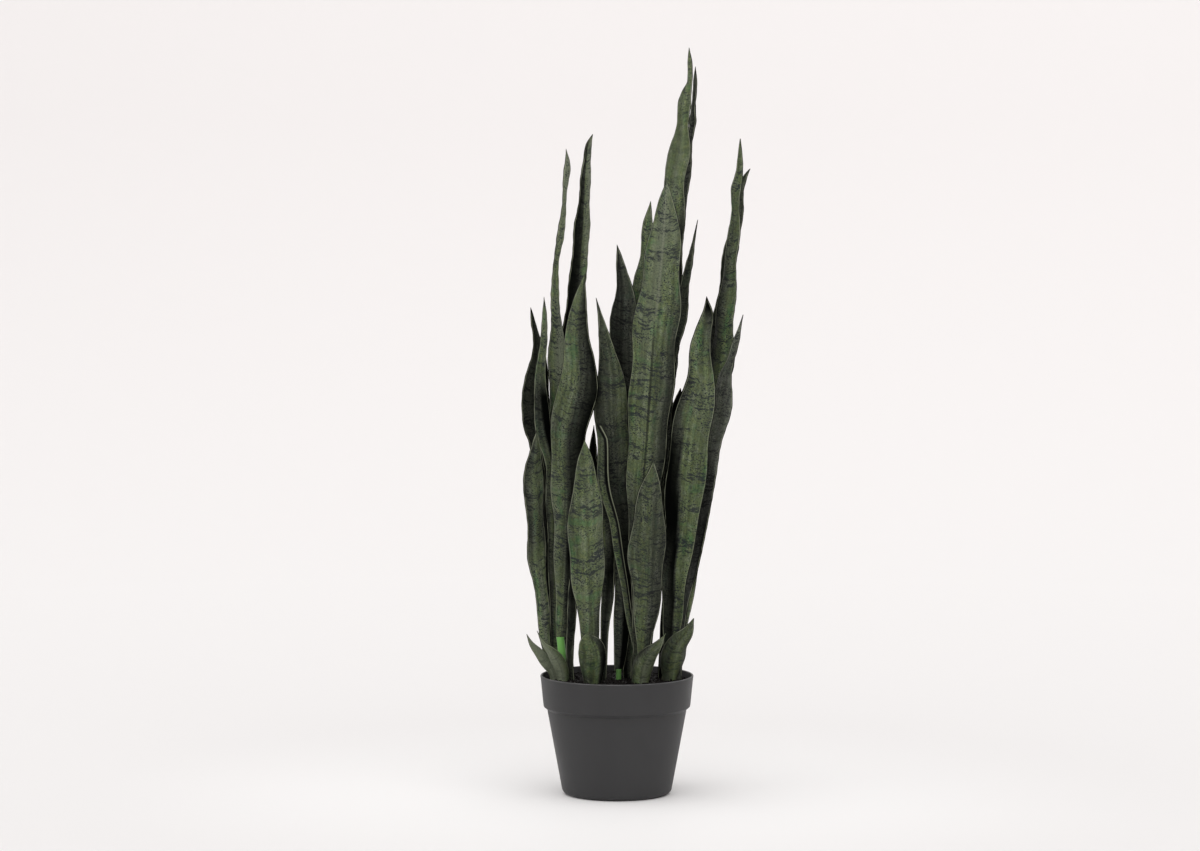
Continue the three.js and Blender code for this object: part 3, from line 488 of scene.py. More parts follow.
class Shader:
    """A material's node tree, with one method for each kind of step that the finishes use."""

    def __init__(self, name):
        self.material = bpy.data.materials.new(name)
        self.material.use_nodes = True
        self.tree = self.material.node_tree
        self.tree.nodes.clear()

    def add(self, kind, values=None, **settings):
        """Adds a node, sets its own settings, and sets or links its named or numbered inputs."""
        made = self.tree.nodes.new(kind)
        for key, value in settings.items():
            setattr(made, key, value)
        for key, value in (values or {}).items():
            if isinstance(value, bpy.types.NodeSocket):
                self.tree.links.new(value, made.inputs[key])
            else:
                made.inputs[key].default_value = value
        return made

    def attribute(self, name):
        return self.add("ShaderNodeAttribute", attribute_name=name).outputs["Fac"]

    def place(self):
        return self.add("ShaderNodeTexCoord").outputs["Object"]

    def parts(self, vector):
        """The vector's x, y and z."""
        return tuple(self.add("ShaderNodeSeparateXYZ", {0: vector}).outputs)

    def math(self, operation, *values):
        made = self.add("ShaderNodeMath", dict(enumerate(values)), operation=operation)
        return made.outputs[0]

    def chain(self, operation, first, *rest):
        """Takes the values one after another into the same sum."""
        for value in rest:
            first = self.math(operation, first, value)
        return first

    def plus(self, *values):
        return self.chain("ADD", *values)

    def minus(self, *values):
        return self.chain("SUBTRACT", *values)

    def times(self, *values):
        return self.chain("MULTIPLY", *values)

    def largest(self, *values):
        return self.chain("MAXIMUM", *values)

    def size(self, value):
        return self.math("ABSOLUTE", value)

    def mix(self, share, first, second, blend="MIX"):
        """Mixes two colours, each linked or given as red, green and blue."""
        first, second = (each if isinstance(each, bpy.types.NodeSocket) else (*each, 1)
                         for each in (first, second))
        made = self.add("ShaderNodeMix", {0: share, 6: first, 7: second},
                        data_type="RGBA", blend_type=blend)
        return made.outputs[2]

    def step(self, value, low, high, to_low=0.0, to_high=1.0):
        """Turns a range of one value smoothly into another range."""
        made = self.add("ShaderNodeMapRange", {
            "Value": value, "From Min": low, "From Max": high,
            "To Min": to_low, "To Max": to_high}, interpolation_type="SMOOTHSTEP")
        return made.outputs[0]

    def noise(self, vector, scale, detail=2.0, shift=(0, 0, 0)):
        """Noise whose grains are the inverse of the scale, per metre, along each axis."""
        place = self.add("ShaderNodeMapping", {
            "Vector": vector, "Scale": scale, "Location": shift})
        made = self.add("ShaderNodeTexNoise", {
            "Vector": place.outputs[0], "Scale": 1.0, "Detail": detail, "Roughness": 0.55})
        return made.outputs[0]

    def surface(self, colour, roughness, shine, height=None, bump_distance=0.0, bump_strength=1.0):
        """Ends the tree in a principled surface, with an optional bump."""
        values = {"Base Color": colour, "Roughness": roughness, "Specular IOR Level": shine}
        if height is not None:
            bump = self.add("ShaderNodeBump", {
                "Height": height, "Distance": bump_distance, "Strength": bump_strength})
            values["Normal"] = bump.outputs[0]
        surface = self.add("ShaderNodeBsdfPrincipled", values)
        self.add("ShaderNodeOutputMaterial", {"Surface": surface.outputs[0]})
        return self.material


def leaf_print_and_shade(settings):
    """The leaf's print with painted shade and light: olive green with fine fibres and long streaks,
    broken dark cross bands, painted shade and highlight along the fold line, and a pale line inside
    the cut edge, which is darkened by painted shadow. Attributes of the sheet say where shade and
    light are painted on it, and where it is inked, creased and greyed."""
    s = Shader("leaf_print_and_shade")
    flat = s.add("ShaderNodeUVMap", uv_map="print").outputs[0]
    side, rib, shade, crease, inked, grey = (
        s.attribute(name) for name in ("side", "rib", "shade", "crease", "inked", "grey"))
    across, along, _ = s.parts(flat)
    from_middle = s.size(side)

    # rows of short dashes that wander a little and rise towards the edges
    roll = s.times(s.minus(s.noise(flat, (34, 14, 1)), 0.5), 16 * MM)
    shiver = s.times(s.minus(s.noise(flat, (300, 90, 1)), 0.5), 5 * MM)
    rise = s.times(s.math("POWER", from_middle, 1.5), -4 * MM)
    risen = s.plus(along, s.plus(roll, shiver, rise))
    crossed = s.add("ShaderNodeCombineXYZ", {0: across, 1: risen, 2: 0.0}).outputs[0]
    frayed = s.times(s.minus(s.noise(flat, (900, 520, 1), 3.0), 0.5), 0.48)
    dashes = s.noise(crossed, (115, 400, 1), 1.5)
    rows = s.step(s.noise(crossed, (16, 120, 1), 1.0, (4, 9, 0)), 0.38, 0.62, -0.12, 0.08)
    groups = s.step(s.noise(crossed, (10, 26, 1), 1.0, (7, 3, 0)), 0.36, 0.62, -0.10, 0.09)
    ink = s.plus(s.plus(dashes, frayed), s.plus(rows, groups))
    bands = s.times(inked, s.step(ink, 0.585, 0.69))
    haze = s.times(inked, s.step(ink, 0.49, 0.64, 0.0, 0.30))
    clusters = s.step(s.noise(flat, (45, 30, 1), 1.0, (2, 2, 0)), 0.40, 0.60, 0.4, 1.0)
    specks = s.step(s.noise(crossed, (420, 700, 1), 1.0, (4, 1, 0)), 0.52, 0.62)
    freckles = s.times(clusters, inked, specks)
    gaps = s.step(s.noise(crossed, (7, 42, 1), 1.0, (8, 5, 0)), 0.63, 0.68, 0.0, 0.7)
    plain = s.times(inked, gaps)

    # the greens, toned by fibres, streaks and mottles, and made paler by painted light where shade
    # is below 0
    fibre = s.noise(flat, (1700, 40, 1), 3.0)
    streak = s.noise(flat, (190, 7, 1), 1.5, (1, 6, 0))
    mottle = s.noise(flat, (420, 300, 1), 3.0, (5, 5, 0))
    patches = s.step(s.noise(flat, (75, 20, 1), 2.0, (3, 8, 0)), 0.56, 0.68, 0.0, 0.85)
    wash = s.step(s.noise(crossed, (110, 70, 1), 3.0, (9, 2, 0)), 0.46, 0.64, 0.0, 0.5)
    olive = s.step(s.noise(flat, (260, 180, 1), 3.0, (2, 7, 0)), 0.46, 0.66, 0.0, 0.5)
    fresh = s.largest(s.times(patches, inked), plain)
    colour = s.mix(fresh, settings.green, settings.fresh)
    colour = s.mix(wash, colour, settings.pale)
    colour = s.mix(olive, colour, settings.olive)
    tone = s.times(s.step(fibre, 0.3, 0.7, 0.82, 1.16), s.step(streak, 0.32, 0.68, 0.70, 1.34),
                   s.step(mottle, 0.3, 0.7, 0.80, 1.18))
    toned = s.add("ShaderNodeCombineColor", {0: tone, 1: tone, 2: tone}).outputs[0]
    colour = s.mix(1.0, colour, toned, "MULTIPLY")
    painted_light = s.times(shade, -1.0)
    colour = s.mix(painted_light, colour, settings.pale)
    more_painted_light = s.times(s.largest(s.minus(painted_light, 1.0), 0.0), 0.43)
    colour = s.mix(more_painted_light, colour, s.mix(1.0, colour, colour, "ADD"))
    printed = s.minus(1.0, s.times(plain, 0.8))
    colour = s.mix(s.times(s.largest(haze, freckles), printed), colour, settings.band)
    colour = s.mix(s.times(bands, 0.8, printed), colour, settings.band)

    # painted shade and painted highlight along the fold's line, the painted shade that darkens and
    # greys the leaf, and the pale line beside a dark fold
    line = s.step(s.size(s.minus(side, rib)), 0.02, 0.09, 1.0, 0.0)
    colour = s.mix(s.times(line, s.largest(crease, 0.0)), colour, settings.deep)
    colour = s.mix(s.times(line, s.largest(s.times(crease, -1.0), 0.0)), colour, settings.edge)
    greyed = s.times(s.step(shade, 0.1, 0.8, 0.95, 0.45), s.minus(1.0, grey))
    colour = s.add("ShaderNodeHueSaturation", {"Saturation": greyed, "Color": colour}).outputs[0]
    colour = s.mix(s.times(shade, 1.05), colour, settings.deep)
    beside = s.step(s.size(s.minus(side, rib, 0.12)), 0.015, 0.045, 0.8, 0.0)
    colour = s.mix(s.times(beside, s.step(crease, 0.8, 0.9)), colour, settings.edge)

    # the pale line inside the cut edge, and painted shadow on the dark cut edge itself
    to_edge = s.minus(s.math("DIVIDE", 1.0, s.largest(from_middle, 0.05)), 1.0)
    from_edge = s.plus(s.times(s.size(across), to_edge), s.step(from_middle, 0.3, 0.4, 1.0, 0.0))
    margin = s.step(s.size(s.minus(from_edge, 1.15 * MM)), 0.1 * MM, 0.6 * MM, 1.0, 0.0)
    worn = s.step(s.noise(flat, (90, 40, 1), 1.0, (6, 6, 0)), 0.38, 0.56, 0.2, 0.75)
    colour = s.mix(s.times(margin, worn), colour, settings.edge)
    painted_edge_shadow = s.step(from_edge, 0.3 * MM, 0.9 * MM, 0.95, 0.0)
    colour = s.mix(painted_edge_shadow, colour, settings.deep)

    rough = s.step(fibre, 0.3, 0.7, settings.roughness - 0.06, settings.roughness + 0.1)
    # the shine fades where shade is painted, since shaded parts reflect little
    sheen = s.step(shade, 0.2, 0.95, 0.16, 0.0)
    height = s.plus(s.times(fibre, 0.5), s.times(bands, -0.35))
    return s.surface(colour, rough, sheen, height, 0.35 * MM, 0.55)


def moulded_green(settings):
    """Bright green moulded plastic with fine flutes, and painted shade that darkens it towards the
    soil.
    """
    brighter, dust_and_shade = (0.18, 0.46, 0.10), (0.06, 0.10, 0.04)
    s = Shader("moulded_green")
    place = s.place()
    flutes = s.noise(place, (1400, 1400, 30), 2.0)
    mottled = s.step(s.noise(place, (160, 160, 60), 2.0), 0.35, 0.65, 0.0, 0.35)
    # painted shade low on the stalk, where the leaves above shade it
    painted_shade_low = s.step(s.parts(place)[2], 0.156, 0.178, 0.5, 0.0)
    colour = s.mix(mottled, settings.colour, brighter)
    colour = s.mix(painted_shade_low, colour, dust_and_shade)
    return s.surface(colour, 0.38, 0.5, flutes, 0.3 * MM, 0.4)


def moulded_plastic(settings):
    """Grey pot plastic with a fine moulded grain, faint flow marks, and a lip painted paler, partly
    as wear and partly as a painted highlight.
    """
    s = Shader("pot_plastic")
    place = s.place()
    x, y, height = s.parts(place)
    grain = s.noise(place, (1500, 1500, 1500), 3.0)
    cloud = s.noise(place, (16, 16, 9), 3.0)
    scuffs = s.noise(place, (60, 60, 900), 3.0, (3, 1, 2))
    worn = s.step(s.noise(place, (60, 60, 60), 3.0, (1, 1, 4)), 0.4, 0.6, 0.55, 1.0)
    # a painted highlight along the lip, broken up by wear
    lip = s.times(s.step(height, POT_HEIGHT - 1.5 * MM, POT_HEIGHT - 0.5 * MM), worn)
    from_axis = s.math("SQRT", s.plus(s.math("POWER", x, 2.0), s.math("POWER", y, 2.0)))
    # paler on the inside just below the rim
    inner = s.step(from_axis, RIM_RADIUS - 2.0 * MM, RIM_RADIUS - 1.0 * MM, 0.45, 0.0)
    inner = s.times(inner, s.step(height, POT_HEIGHT - 14 * MM, POT_HEIGHT - 8 * MM))
    marks = s.times(s.step(scuffs, 0.64, 0.74), 0.08)
    dust_and_shade = s.step(cloud, 0.35, 0.7, 0.0, 0.08)
    colour = s.mix(s.largest(lip, inner, marks, dust_and_shade), settings.colour, settings.worn_and_highlit)
    rough = s.step(cloud, 0.3, 0.7, settings.roughness - 0.05, settings.roughness + 0.08)
    return s.surface(colour, rough, 0.25, grain, 0.25 * MM, 0.35)


def dark_earth(settings):
    """Near-black earth with small damp glints."""
    brown = (0.020, 0.016, 0.014)
    s = Shader("dark_earth")
    place = s.place()
    lumps = s.noise(place, (420, 420, 420), 4.0)
    fine = s.noise(place, (1600, 1600, 1600), 3.0)
    colour = s.mix(s.step(lumps, 0.4, 0.75, 0.0, 0.5), settings.colour, brown)
    colour = s.mix(s.step(fine, 0.66, 0.76, 0.0, 0.5), colour, settings.grit)
    rough = s.step(lumps, 0.3, 0.7, 0.4, 0.9)
    damp = s.step(fine, 0.60, 0.68, 0.03, 0.5)
    return s.surface(colour, rough, damp, s.plus(lumps, s.times(fine, 0.5)), 0.8 * MM, 0.8)


def pale_grit(settings):
    """The palest crumbs in the earth."""
    s = Shader("pale_grit")
    fine = s.noise(s.place(), (1100, 1100, 1100), 3.0)
    colour = s.mix(s.step(fine, 0.35, 0.7), settings.colour, settings.grit)
    return s.surface(colour, 0.6, 0.5, fine, 0.5 * MM, 0.7)


def pale_floor(settings):
    """The seamless floor and wall, with painted light round the pot where its shadow falls, and
    painted shade up the wall where the key light falls more strongly.
    """
    s = Shader("pale_floor")
    place = s.place()
    from_pot = s.add("ShaderNodeVectorMath", {0: place}, operation="LENGTH").outputs["Value"]
    # painted light round the pot, which takes out its shadow on the floor
    painted_light_near_pot = s.step(from_pot, 0.1, 0.7, 1.0, 0.0)
    # painted shade up the wall, where the key light falls more strongly
    painted_shade_up_wall = s.math("SQRT", s.largest(s.parts(place)[2], 0.0))
    colour = s.mix(painted_light_near_pot, settings.colour, settings.near_colour)
    colour = s.mix(painted_shade_up_wall, colour, settings.wall_colour)
    return s.surface(colour, 0.7, 0.2)


# ---------------------------------------------------------------- modelling steps

def clear_selection():
    if bpy.context.object and bpy.context.object.mode != "OBJECT":
        bpy.ops.object.mode_set(mode="OBJECT")
    bpy.ops.object.select_all(action="DESELECT")


def make_active(piece):
    clear_selection()
    piece.select_set(True)
    bpy.context.view_layer.objects.active = piece


def thicken(piece, thickness):
    """Adds a modifier that makes a sheet solid, half of it on each side."""
    solid = piece.modifiers.new("Thickness", "SOLIDIFY")
    solid.thickness = thickness
    solid.offset = 0


def apply_modifiers(piece):
    make_active(piece)
    for modifier in list(piece.modifiers):
        bpy.ops.object.modifier_apply(modifier=modifier.name)


def set_places(mesh, places):
    mesh.vertices.foreach_set("co", np.asarray(places, np.float32).ravel())
    mesh.update()


def places_of(mesh):
    places = np.empty(len(mesh.vertices) * 3, np.float32)
    mesh.vertices.foreach_get("co", places)
    return places.reshape(-1, 3).astype(float)


def hand_over(piece, name, slot, *nodes):
    """Names a finished piece, gives it its body and hides the nodes that it replaces. The slot is
    not used.
    """
    piece.name = name
    piece.data.name = name
    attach(piece, BODY)
    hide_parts(*nodes)


def arc(radius, height, bend, start, end, count):
    """Points of a profile's round corner, from one angle to another in degrees."""
    angles = [math.radians(start + (end - start) * i / count) for i in range(count + 1)]
    return [(radius + bend * math.cos(a), height + bend * math.sin(a)) for a in angles]


def start_disc(place, radius, sides):
    """A filled circle in edit mode, all of it selected, ready to be extruded."""
    clear_selection()
    bpy.ops.mesh.primitive_circle_add(
        vertices=sides, radius=radius, fill_type="NGON", location=place)
    bpy.ops.object.transform_apply(location=True, rotation=False, scale=False)
    bpy.ops.object.mode_set(mode="EDIT")
    bpy.ops.mesh.select_all(action="SELECT")
    return bpy.context.object


def extrude_rings(profile, extrude):
    """Takes the selected ring along the profile, from one radius and height to the next."""
    for (radius, height), (next_radius, next_height) in zip(profile, profile[1:]):
        extrude(TRANSFORM_OT_translate={"value": (0, 0, next_height - height)})
        share = next_radius / radius
        bpy.ops.transform.resize(value=(share, share, 1), center_override=(0, 0, 0))


def close_solid():
    """Turns all faces outwards and leaves edit mode."""
    bpy.ops.mesh.select_all(action="SELECT")
    bpy.ops.mesh.normals_make_consistent(inside=False)
    bpy.ops.object.mode_set(mode="OBJECT")


def turn_profile(profile, sides):
    """A closed turned solid: a disc, extruded and resized from ring to ring of its profile."""
    radius, height = profile[0]
    piece = start_disc((0, 0, height), radius, sides)
    extrude_rings(profile, bpy.ops.mesh.extrude_region_move)
    close_solid()
    return piece


# ---------------------------------------------------------------- pot

def pot_profile(settings):
    """The pot's outline from its underside, up the outside, over the lip and down inside."""
    wall = settings.wall
    outside = [
        (BASE_RADIUS - 6 * MM, 0),
        *arc(BASE_RADIUS - 1 * MM, CORNER_RADIUS, CORNER_RADIUS, -90, -8, 9),
        (BODY_TOP_RADIUS - 0.3 * MM, BAND_FOOT - 7.5 * MM),
        *arc(BODY_TOP_RADIUS + 1.4 * MM, BAND_FOOT - 5.4 * MM, settings.fillet, 180, 105, 5),
        *arc(BAND_FOOT_RADIUS - 1.7 * MM, BAND_FOOT, settings.fillet, -70, -4, 6),
        (BAND_FOOT_RADIUS + 0.4 * MM, BAND_FOOT + 4 * MM),
        (RIM_RADIUS - 0.4 * MM, POT_HEIGHT - 4 * MM),
        *arc(RIM_RADIUS - LIP_RADIUS, POT_HEIGHT - LIP_RADIUS, LIP_RADIUS, 0, 180, 10),
    ]
    inside = [
        (BAND_FOOT_RADIUS - wall, BAND_FOOT - BAND_SLOPE_TOP),
        (BODY_TOP_RADIUS - wall, BAND_FOOT - BAND_SLOPE_FOOT),
        (BODY_FOOT_RADIUS - wall, CORNER_RADIUS + 2 * MM),
        (BASE_RADIUS - 1 * MM, POT_FLOOR),
    ]
    return outside + inside


class PLANT_OT_pot(bpy.types.Operator):
    """Turns the pot and gives it its moulded plastic"""
    bl_idname = "plant.pot"
    bl_label = "Build pot"

    def execute(self, context):
        settings = context.scene.plant_pot
        piece = turn_profile(pot_profile(settings), settings.sides)
        make_active(piece)
        bpy.ops.object.shade_smooth_by_angle(angle=POT_SMOOTHING)
        piece.data.materials.append(moulded_plastic(settings))
        hand_over(piece, "pot_shell", "pot_plastic", "pot")
        return {"FINISHED"}


# ---------------------------------------------------------------- soil

def soil_height(x, y, settings):
    """Rolling crumbs as a sum of short waves, with finer lumps from noise."""
    mx, my = x / MM, y / MM
    roll = math.sin(0.19 * mx + 0.6) * math.sin(0.23 * my - 0.9)
    crumb = math.sin(0.41 * mx + 0.29 * my) * math.sin(0.37 * my - 0.31 * mx + 1.7)
    place = Vector((mx / LUMP_MILLIMETRES, my / LUMP_MILLIMETRES, LUMP_LAYER))
    lumps = noise.fractal(place, 0.6, 2.1, 4)
    return settings.level + SOIL_ROLL * (roll + 0.6 * crumb) / 1.6 + settings.roughen * lumps


def soil_body(settings):
    """The soil as one turned body, its top in rings that are then roughened."""
    low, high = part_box("soil")
    edge = high.x
    top = settings.level
    profile = [
        (BASE_RADIUS - 1.5 * MM, low.z + 0.2 * MM),
        (BODY_FOOT_RADIUS - SOIL_INSET, CORNER_RADIUS + 2 * MM),
        (BODY_TOP_RADIUS - SOIL_INSET, BAND_FOOT - BAND_SLOPE_FOOT),
        (BAND_FOOT_RADIUS - SOIL_INSET, BAND_FOOT - BAND_SLOPE_TOP),
    ]
    profile += [(edge * (1 - i / (settings.rings + 1)), top) for i in range(settings.rings + 1)]
    piece = turn_profile(profile, SOIL_SIDES)
    mesh = piece.data
    places = places_of(mesh)
    inner = np.hypot(places[:, 0], places[:, 1])
    for i in np.flatnonzero(places[:, 2] > top - 1 * MM):
        x, y, _ = places[i]
        calm = min(1.0, (edge - inner[i]) / CALM_RIM)
        places[i, 2] = top + calm * (soil_height(x, y, settings) - top)
    set_places(mesh, places)
    return piece


def scatter_crumbs(settings):
    """Loose crumbs, each a small lump of its own, over the soil."""
    draw = random.Random(settings.seed)
    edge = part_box("soil")[1].x - SOIL_INSET
    clear_selection()
    bpy.ops.mesh.primitive_ico_sphere_add(subdivisions=1, radius=1)
    lump = bpy.context.object
    corner = [v.co.copy() for v in lump.data.vertices]
    faces = [tuple(p.vertices) for p in lump.data.polygons]
    bpy.data.objects.remove(lump)
    made = bmesh.new()
    for i in range(settings.crumbs):
        reach = edge * math.sqrt(draw.random())
        angle = draw.uniform(0, 2 * math.pi)
        x, y = reach * math.cos(angle), reach * math.sin(angle)
        size = settings.crumb_size * (LEAST_CRUMB + (1 - LEAST_CRUMB) * draw.random() ** 2.2)
        turn = Matrix.Rotation(draw.uniform(0, 6.3), 3, Vector((
            draw.gauss(0, 1), draw.gauss(0, 1), draw.gauss(0, 1))).normalized())
        squash = Vector((1, draw.uniform(0.6, 1), draw.uniform(0.45, 0.8)))
        place = Vector((x, y, soil_height(x, y, settings) + CRUMB_RISE * size))
        corners = []
        for v in corner:
            bent = v * (1 + CRUMB_BUMPS * noise.noise(v * 2.1 + Vector((i, 0, 0))))
            corners.append(made.verts.new(place + turn @ (bent * squash) * size))
        finish = 1 if draw.random() < PALE_CRUMBS else 0
        for face in faces:
            made.faces.new([corners[k] for k in face]).material_index = finish
    mesh = bpy.data.meshes.new("crumbs")
    made.to_mesh(mesh)
    made.free()
    piece = bpy.data.objects.new("crumbs", mesh)
    bpy.context.scene.collection.objects.link(piece)
    return piece


class PLANT_OT_soil(bpy.types.Operator):
    """Fills the pot with rough dark earth and scatters loose crumbs on it"""
    bl_idname = "plant.soil"
    bl_label = "Build soil"

    def execute(self, context):
        settings = context.scene.plant_soil
        body = soil_body(settings)
        crumbs = scatter_crumbs(settings)
        finishes = (dark_earth(settings), pale_grit(settings))
        for piece in (body, crumbs):
            for finish in finishes:
                piece.data.materials.append(finish)
        make_active(body)
        crumbs.select_set(True)
        bpy.ops.object.join()
        bpy.ops.object.shade_smooth_by_angle(angle=SOIL_SMOOTHING)
        hand_over(bpy.context.object, "soil_earth", "soil", "soil")
        return {"FINISHED"}


# ---------------------------------------------------------------- blades

def catmull_rom(points, share, centripetal):
    """Points on a smooth curve through the given ones, share running from 0 to 1."""
    spans = len(points) - 1
    place = np.clip(np.asarray(share, float) * spans, 0, spans)
    index = np.minimum(place.astype(int), spans - 1)
    w = (place - index)[:, None]
    padded = np.vstack([2 * points[0] - points[1], points, 2 * points[-1] - points[-2]])
    p0, p1, p2, p3 = (padded[index + k] for k in range(4))
    if centripetal:
        d0, d1, d2 = (np.sqrt(np.linalg.norm(b - a, axis=1))[:, None]
                      for a, b in ((p0, p1), (p1, p2), (p2, p3)))
        t1 = ((p1 - p0) / d0 - (p2 - p0) / (d0 + d1) + (p2 - p1) / d1) * d1
        t2 = ((p2 - p1) / d1 - (p3 - p1) / (d1 + d2) + (p3 - p2) / d2) * d1
    else:
        t1 = (p2 - p0) / 2
        t2 = (p3 - p1) / 2
    return (p1 + t1 * w + (3 * (p2 - p1) - 2 * t1 - t2) * w ** 2
            + (2 * (p1 - p2) + t1 + t2) * w ** 3)


def ease(x):
    x = np.clip(x, 0, 1)
    return x * x * (3 - 2 * x)


def unit(vectors):
    return vectors / np.linalg.norm(vectors, axis=1, keepdims=True)


def read_off(table, share, column=1):
    """One column of a table at each share, which the table's first column gives."""
    return np.interp(share, table[:, 0], table[:, column])


class Blade:
    """The middle sheet of one leaf, in millimetres. A row is a distance along the blade from the
    soil, and a side runs from -1 at the left edge to 1 at the right."""

    def __init__(self, name):
        leaf = LEAVES[name]
        finish = {**PLAIN_FINISH, **FINISH[name]}
        stations = np.array(leaf["stations"], float)
        self.line = stations[:, [1, 2, 0]]
        self.form = stations[:, [3, 4]]
        self.fold, self.wave = leaf["fold"], leaf["wave"]
        self.phase = sum(ord(letter) * LETTER_PHASE for letter in name)
        self.sheath, self.grey = finish["sheath"], finish["grey"]
        self.rib, self.inked, self.shade, self.crease = (
            np.array(finish[key], float) for key in ("rib", "inked", "shade", "crease"))
        self.shares = np.linspace(0, 1, LINE_DIVISIONS + 1)
        steps = np.diff(catmull_rom(self.line, self.shares, True), axis=0)
        self.lengths = np.concatenate([[0], np.cumsum(np.linalg.norm(steps, axis=1))])
        self.length = self.lengths[-1]

    def rows(self, along):
        """Place, across, front and width at each distance along the blade."""
        share = np.interp(along, self.lengths, self.shares)
        place = catmull_rom(self.line, share, True)
        place[:, 2] += np.minimum(along, 0)
        tangent = unit(catmull_rom(self.line, share + NEAR_SHARE, True)
                       - catmull_rom(self.line, share - NEAR_SHARE, True))
        upright = np.clip(1 - along / UPRIGHT_LENGTH, 0, 1)[:, None]
        length = unit(tangent * (1 - upright) + np.array([0, 0, 1]) * upright)
        width, turn = catmull_rom(self.form, share, False).T
        turn = np.radians(turn)
        across = np.stack([np.cos(turn), np.sin(turn), np.zeros_like(turn)], axis=1)
        across = unit(across - length * np.sum(across * length, axis=1, keepdims=True))
        return place, across, np.cross(across, length), np.maximum(width, TIP_WIDTH)

    def share_of(self, along):
        return np.clip(along / self.length, 0, 1)

    def folded(self, side, along, width):
        """How far the fold takes the sheet back, its line moved to where the rib lies."""
        rib = read_off(self.rib, self.share_of(along))
        keel = np.clip(rib, -0.5, 0.5)
        off = np.where(side > keel, (side - keel) / (1 - keel), (side - keel) / (1 + keel))
        depth = self.fold * width * (FOOT_FOLD + (1 - FOOT_FOLD) * ease(along / FOLD_LENGTH))
        return depth * np.abs(off) ** FOLD_CURVE, rib

    def wrapped(self, side, along, width):
        """A basal leaf's reach to the side and back, round its clump."""
        foot, tip = self.sheath
        wrap = np.radians(np.interp(along / self.length, [0, 0.3, 1], [foot, foot, tip])) / 2
        widest = np.sin(np.minimum(wrap, np.pi / 2))
        radius = width / 2 / widest
        return radius * np.sin(side * wrap), radius * (1 - np.cos(side * wrap))

    def places(self, side, along, ripple):
        """Points of the sheet for a side and a row each."""
        place, across, front, width = self.rows(along)
        growth = ease((along - WAVE_START) / WAVE_GROWTH)
        angle = 2 * np.pi * np.maximum(along, 0) / WAVE_LENGTH + self.phase
        swing = self.wave * growth * side ** 2 * np.sin(angle + WAVE_SKEW * side)
        if self.sheath:
            reach, back = self.wrapped(side, along, width)
        else:
            scallop = np.sin(SCALLOP_PACE * angle + SCALLOP_SKEW * np.sign(side))
            reach = side * width / 2 * (1 + SCALLOP_SHARE * growth * scallop)
            back, _ = self.folded(side, along, width)
        fine = sum(
            height * np.sin(2 * np.pi * along / length + pace * self.phase + skew * np.sign(side))
            for height, length, pace, skew in RIPPLES)
        swing = swing + ripple * growth * np.abs(side) ** 3 * fine
        swing = swing * np.minimum(width / CALM_WIDTH, 1)
        return place + across * reach[:, None] + front * (swing - back)[:, None]


def lay_attributes(mesh, blade, side, along, rib):
    """What the leaf's print and its painted shade and light read at each point of the sheet."""
    share = blade.share_of(along)
    left, left_rib, right_rib, right = (read_off(blade.shade, share, k) for k in range(1, 5))
    on_left = left_rib + (left - left_rib) * np.clip((rib - side) / (1 + rib), 0, 1)
    on_right = right_rib + (right - right_rib) * np.clip((side - rib) / (1 - rib), 0, 1)
    over = ease((side - rib) / SHADE_CHANGE + 0.5)
    for name, values in (
            ("side", side), ("rib", rib), ("grey", np.full(len(side), blade.grey)),
            ("shade", on_left + (on_right - on_left) * over),
            ("crease", read_off(blade.crease, share)), ("inked", read_off(blade.inked, share))):
        mesh.attributes.new(name, "FLOAT", "POINT").data.foreach_set(
            "value", values.astype(np.float32))


def lay_print(mesh, across, along):
    """The print's own map: real distances across and along the leaf."""
    mesh.uv_layers[0].name = "print"
    corners = np.empty(len(mesh.loops), np.int32)
    mesh.loops.foreach_get("vertex_index", corners)
    flat = np.stack([across[corners], along[corners]], axis=1)
    mesh.uv_layers["print"].data.foreach_set("uv", flat.astype(np.float32).ravel())


def leaf_sheet(name, settings, foot_depth, grow=0.0):
    """A grid whose columns run across the leaf and whose rows run up it, laid on the blade."""
    blade = Blade(name)
    total = blade.length + foot_depth
    rows = max(12, round(total * MM / settings.row_length))
    clear_selection()
    bpy.ops.mesh.primitive_grid_add(
        x_subdivisions=settings.columns, y_subdivisions=rows, size=2, location=(0, 0, 0))
    piece = bpy.context.object
    side, up, _ = places_of(piece.data).T
    along = (up + 1) / 2 * total - foot_depth
    points = blade.places(side, along, settings.ripple / MM)
    _, across, _, width = blade.rows(along)
    points += across * (side * grow / 2)[:, None]
    set_places(piece.data, points * MM)
    _, rib = blade.folded(side, along, width)
    lay_attributes(piece.data, blade, side, along, rib)
    lay_print(piece.data, side * width / 2 * MM, along * MM + blade.phase)
    return piece


def once(name, maker, settings):
    """A material that several pieces share, made the first time."""
    return bpy.data.materials.get(name) or maker(settings)


def build_leaf(name, settings):
    leaf = LEAVES[name]
    piece = leaf_sheet(name, settings, 0 if leaf.get("on_stalk") else FOOT_DEPTH)
    thicken(piece, settings.thickness)
    smooth = piece.modifiers.new("Smooth", "SUBSURF")
    smooth.levels = smooth.render_levels = 1
    apply_modifiers(piece)
    bpy.ops.object.shade_smooth()
    piece.data.materials.append(once("leaf_print_and_shade", leaf_print_and_shade, settings))
    hand_over(piece, name.replace("leaf_", "blade_"), f"leaf_{leaf['dye']}", name)


class PLANT_OT_leaves(bpy.types.Operator):
    """Lays one clump's leaves, folds and waves them, and prints their bands"""
    bl_idname = "plant.leaves"
    bl_label = "Build a clump of leaves"

    clump: bpy.props.EnumProperty(
        name="Clump", description="Which clump to build",
        items=[(key, key.replace("_", " "), f"The {key.replace('_', ' ')} clump") for key in CLUMPS])

    def execute(self, context):
        for name in LEAVES:
            if name.startswith(f"leaf_{self.clump}_"):
                build_leaf(name, context.scene.plant_leaves)
        return {"FINISHED"}


# ---------------------------------------------------------------- stalks

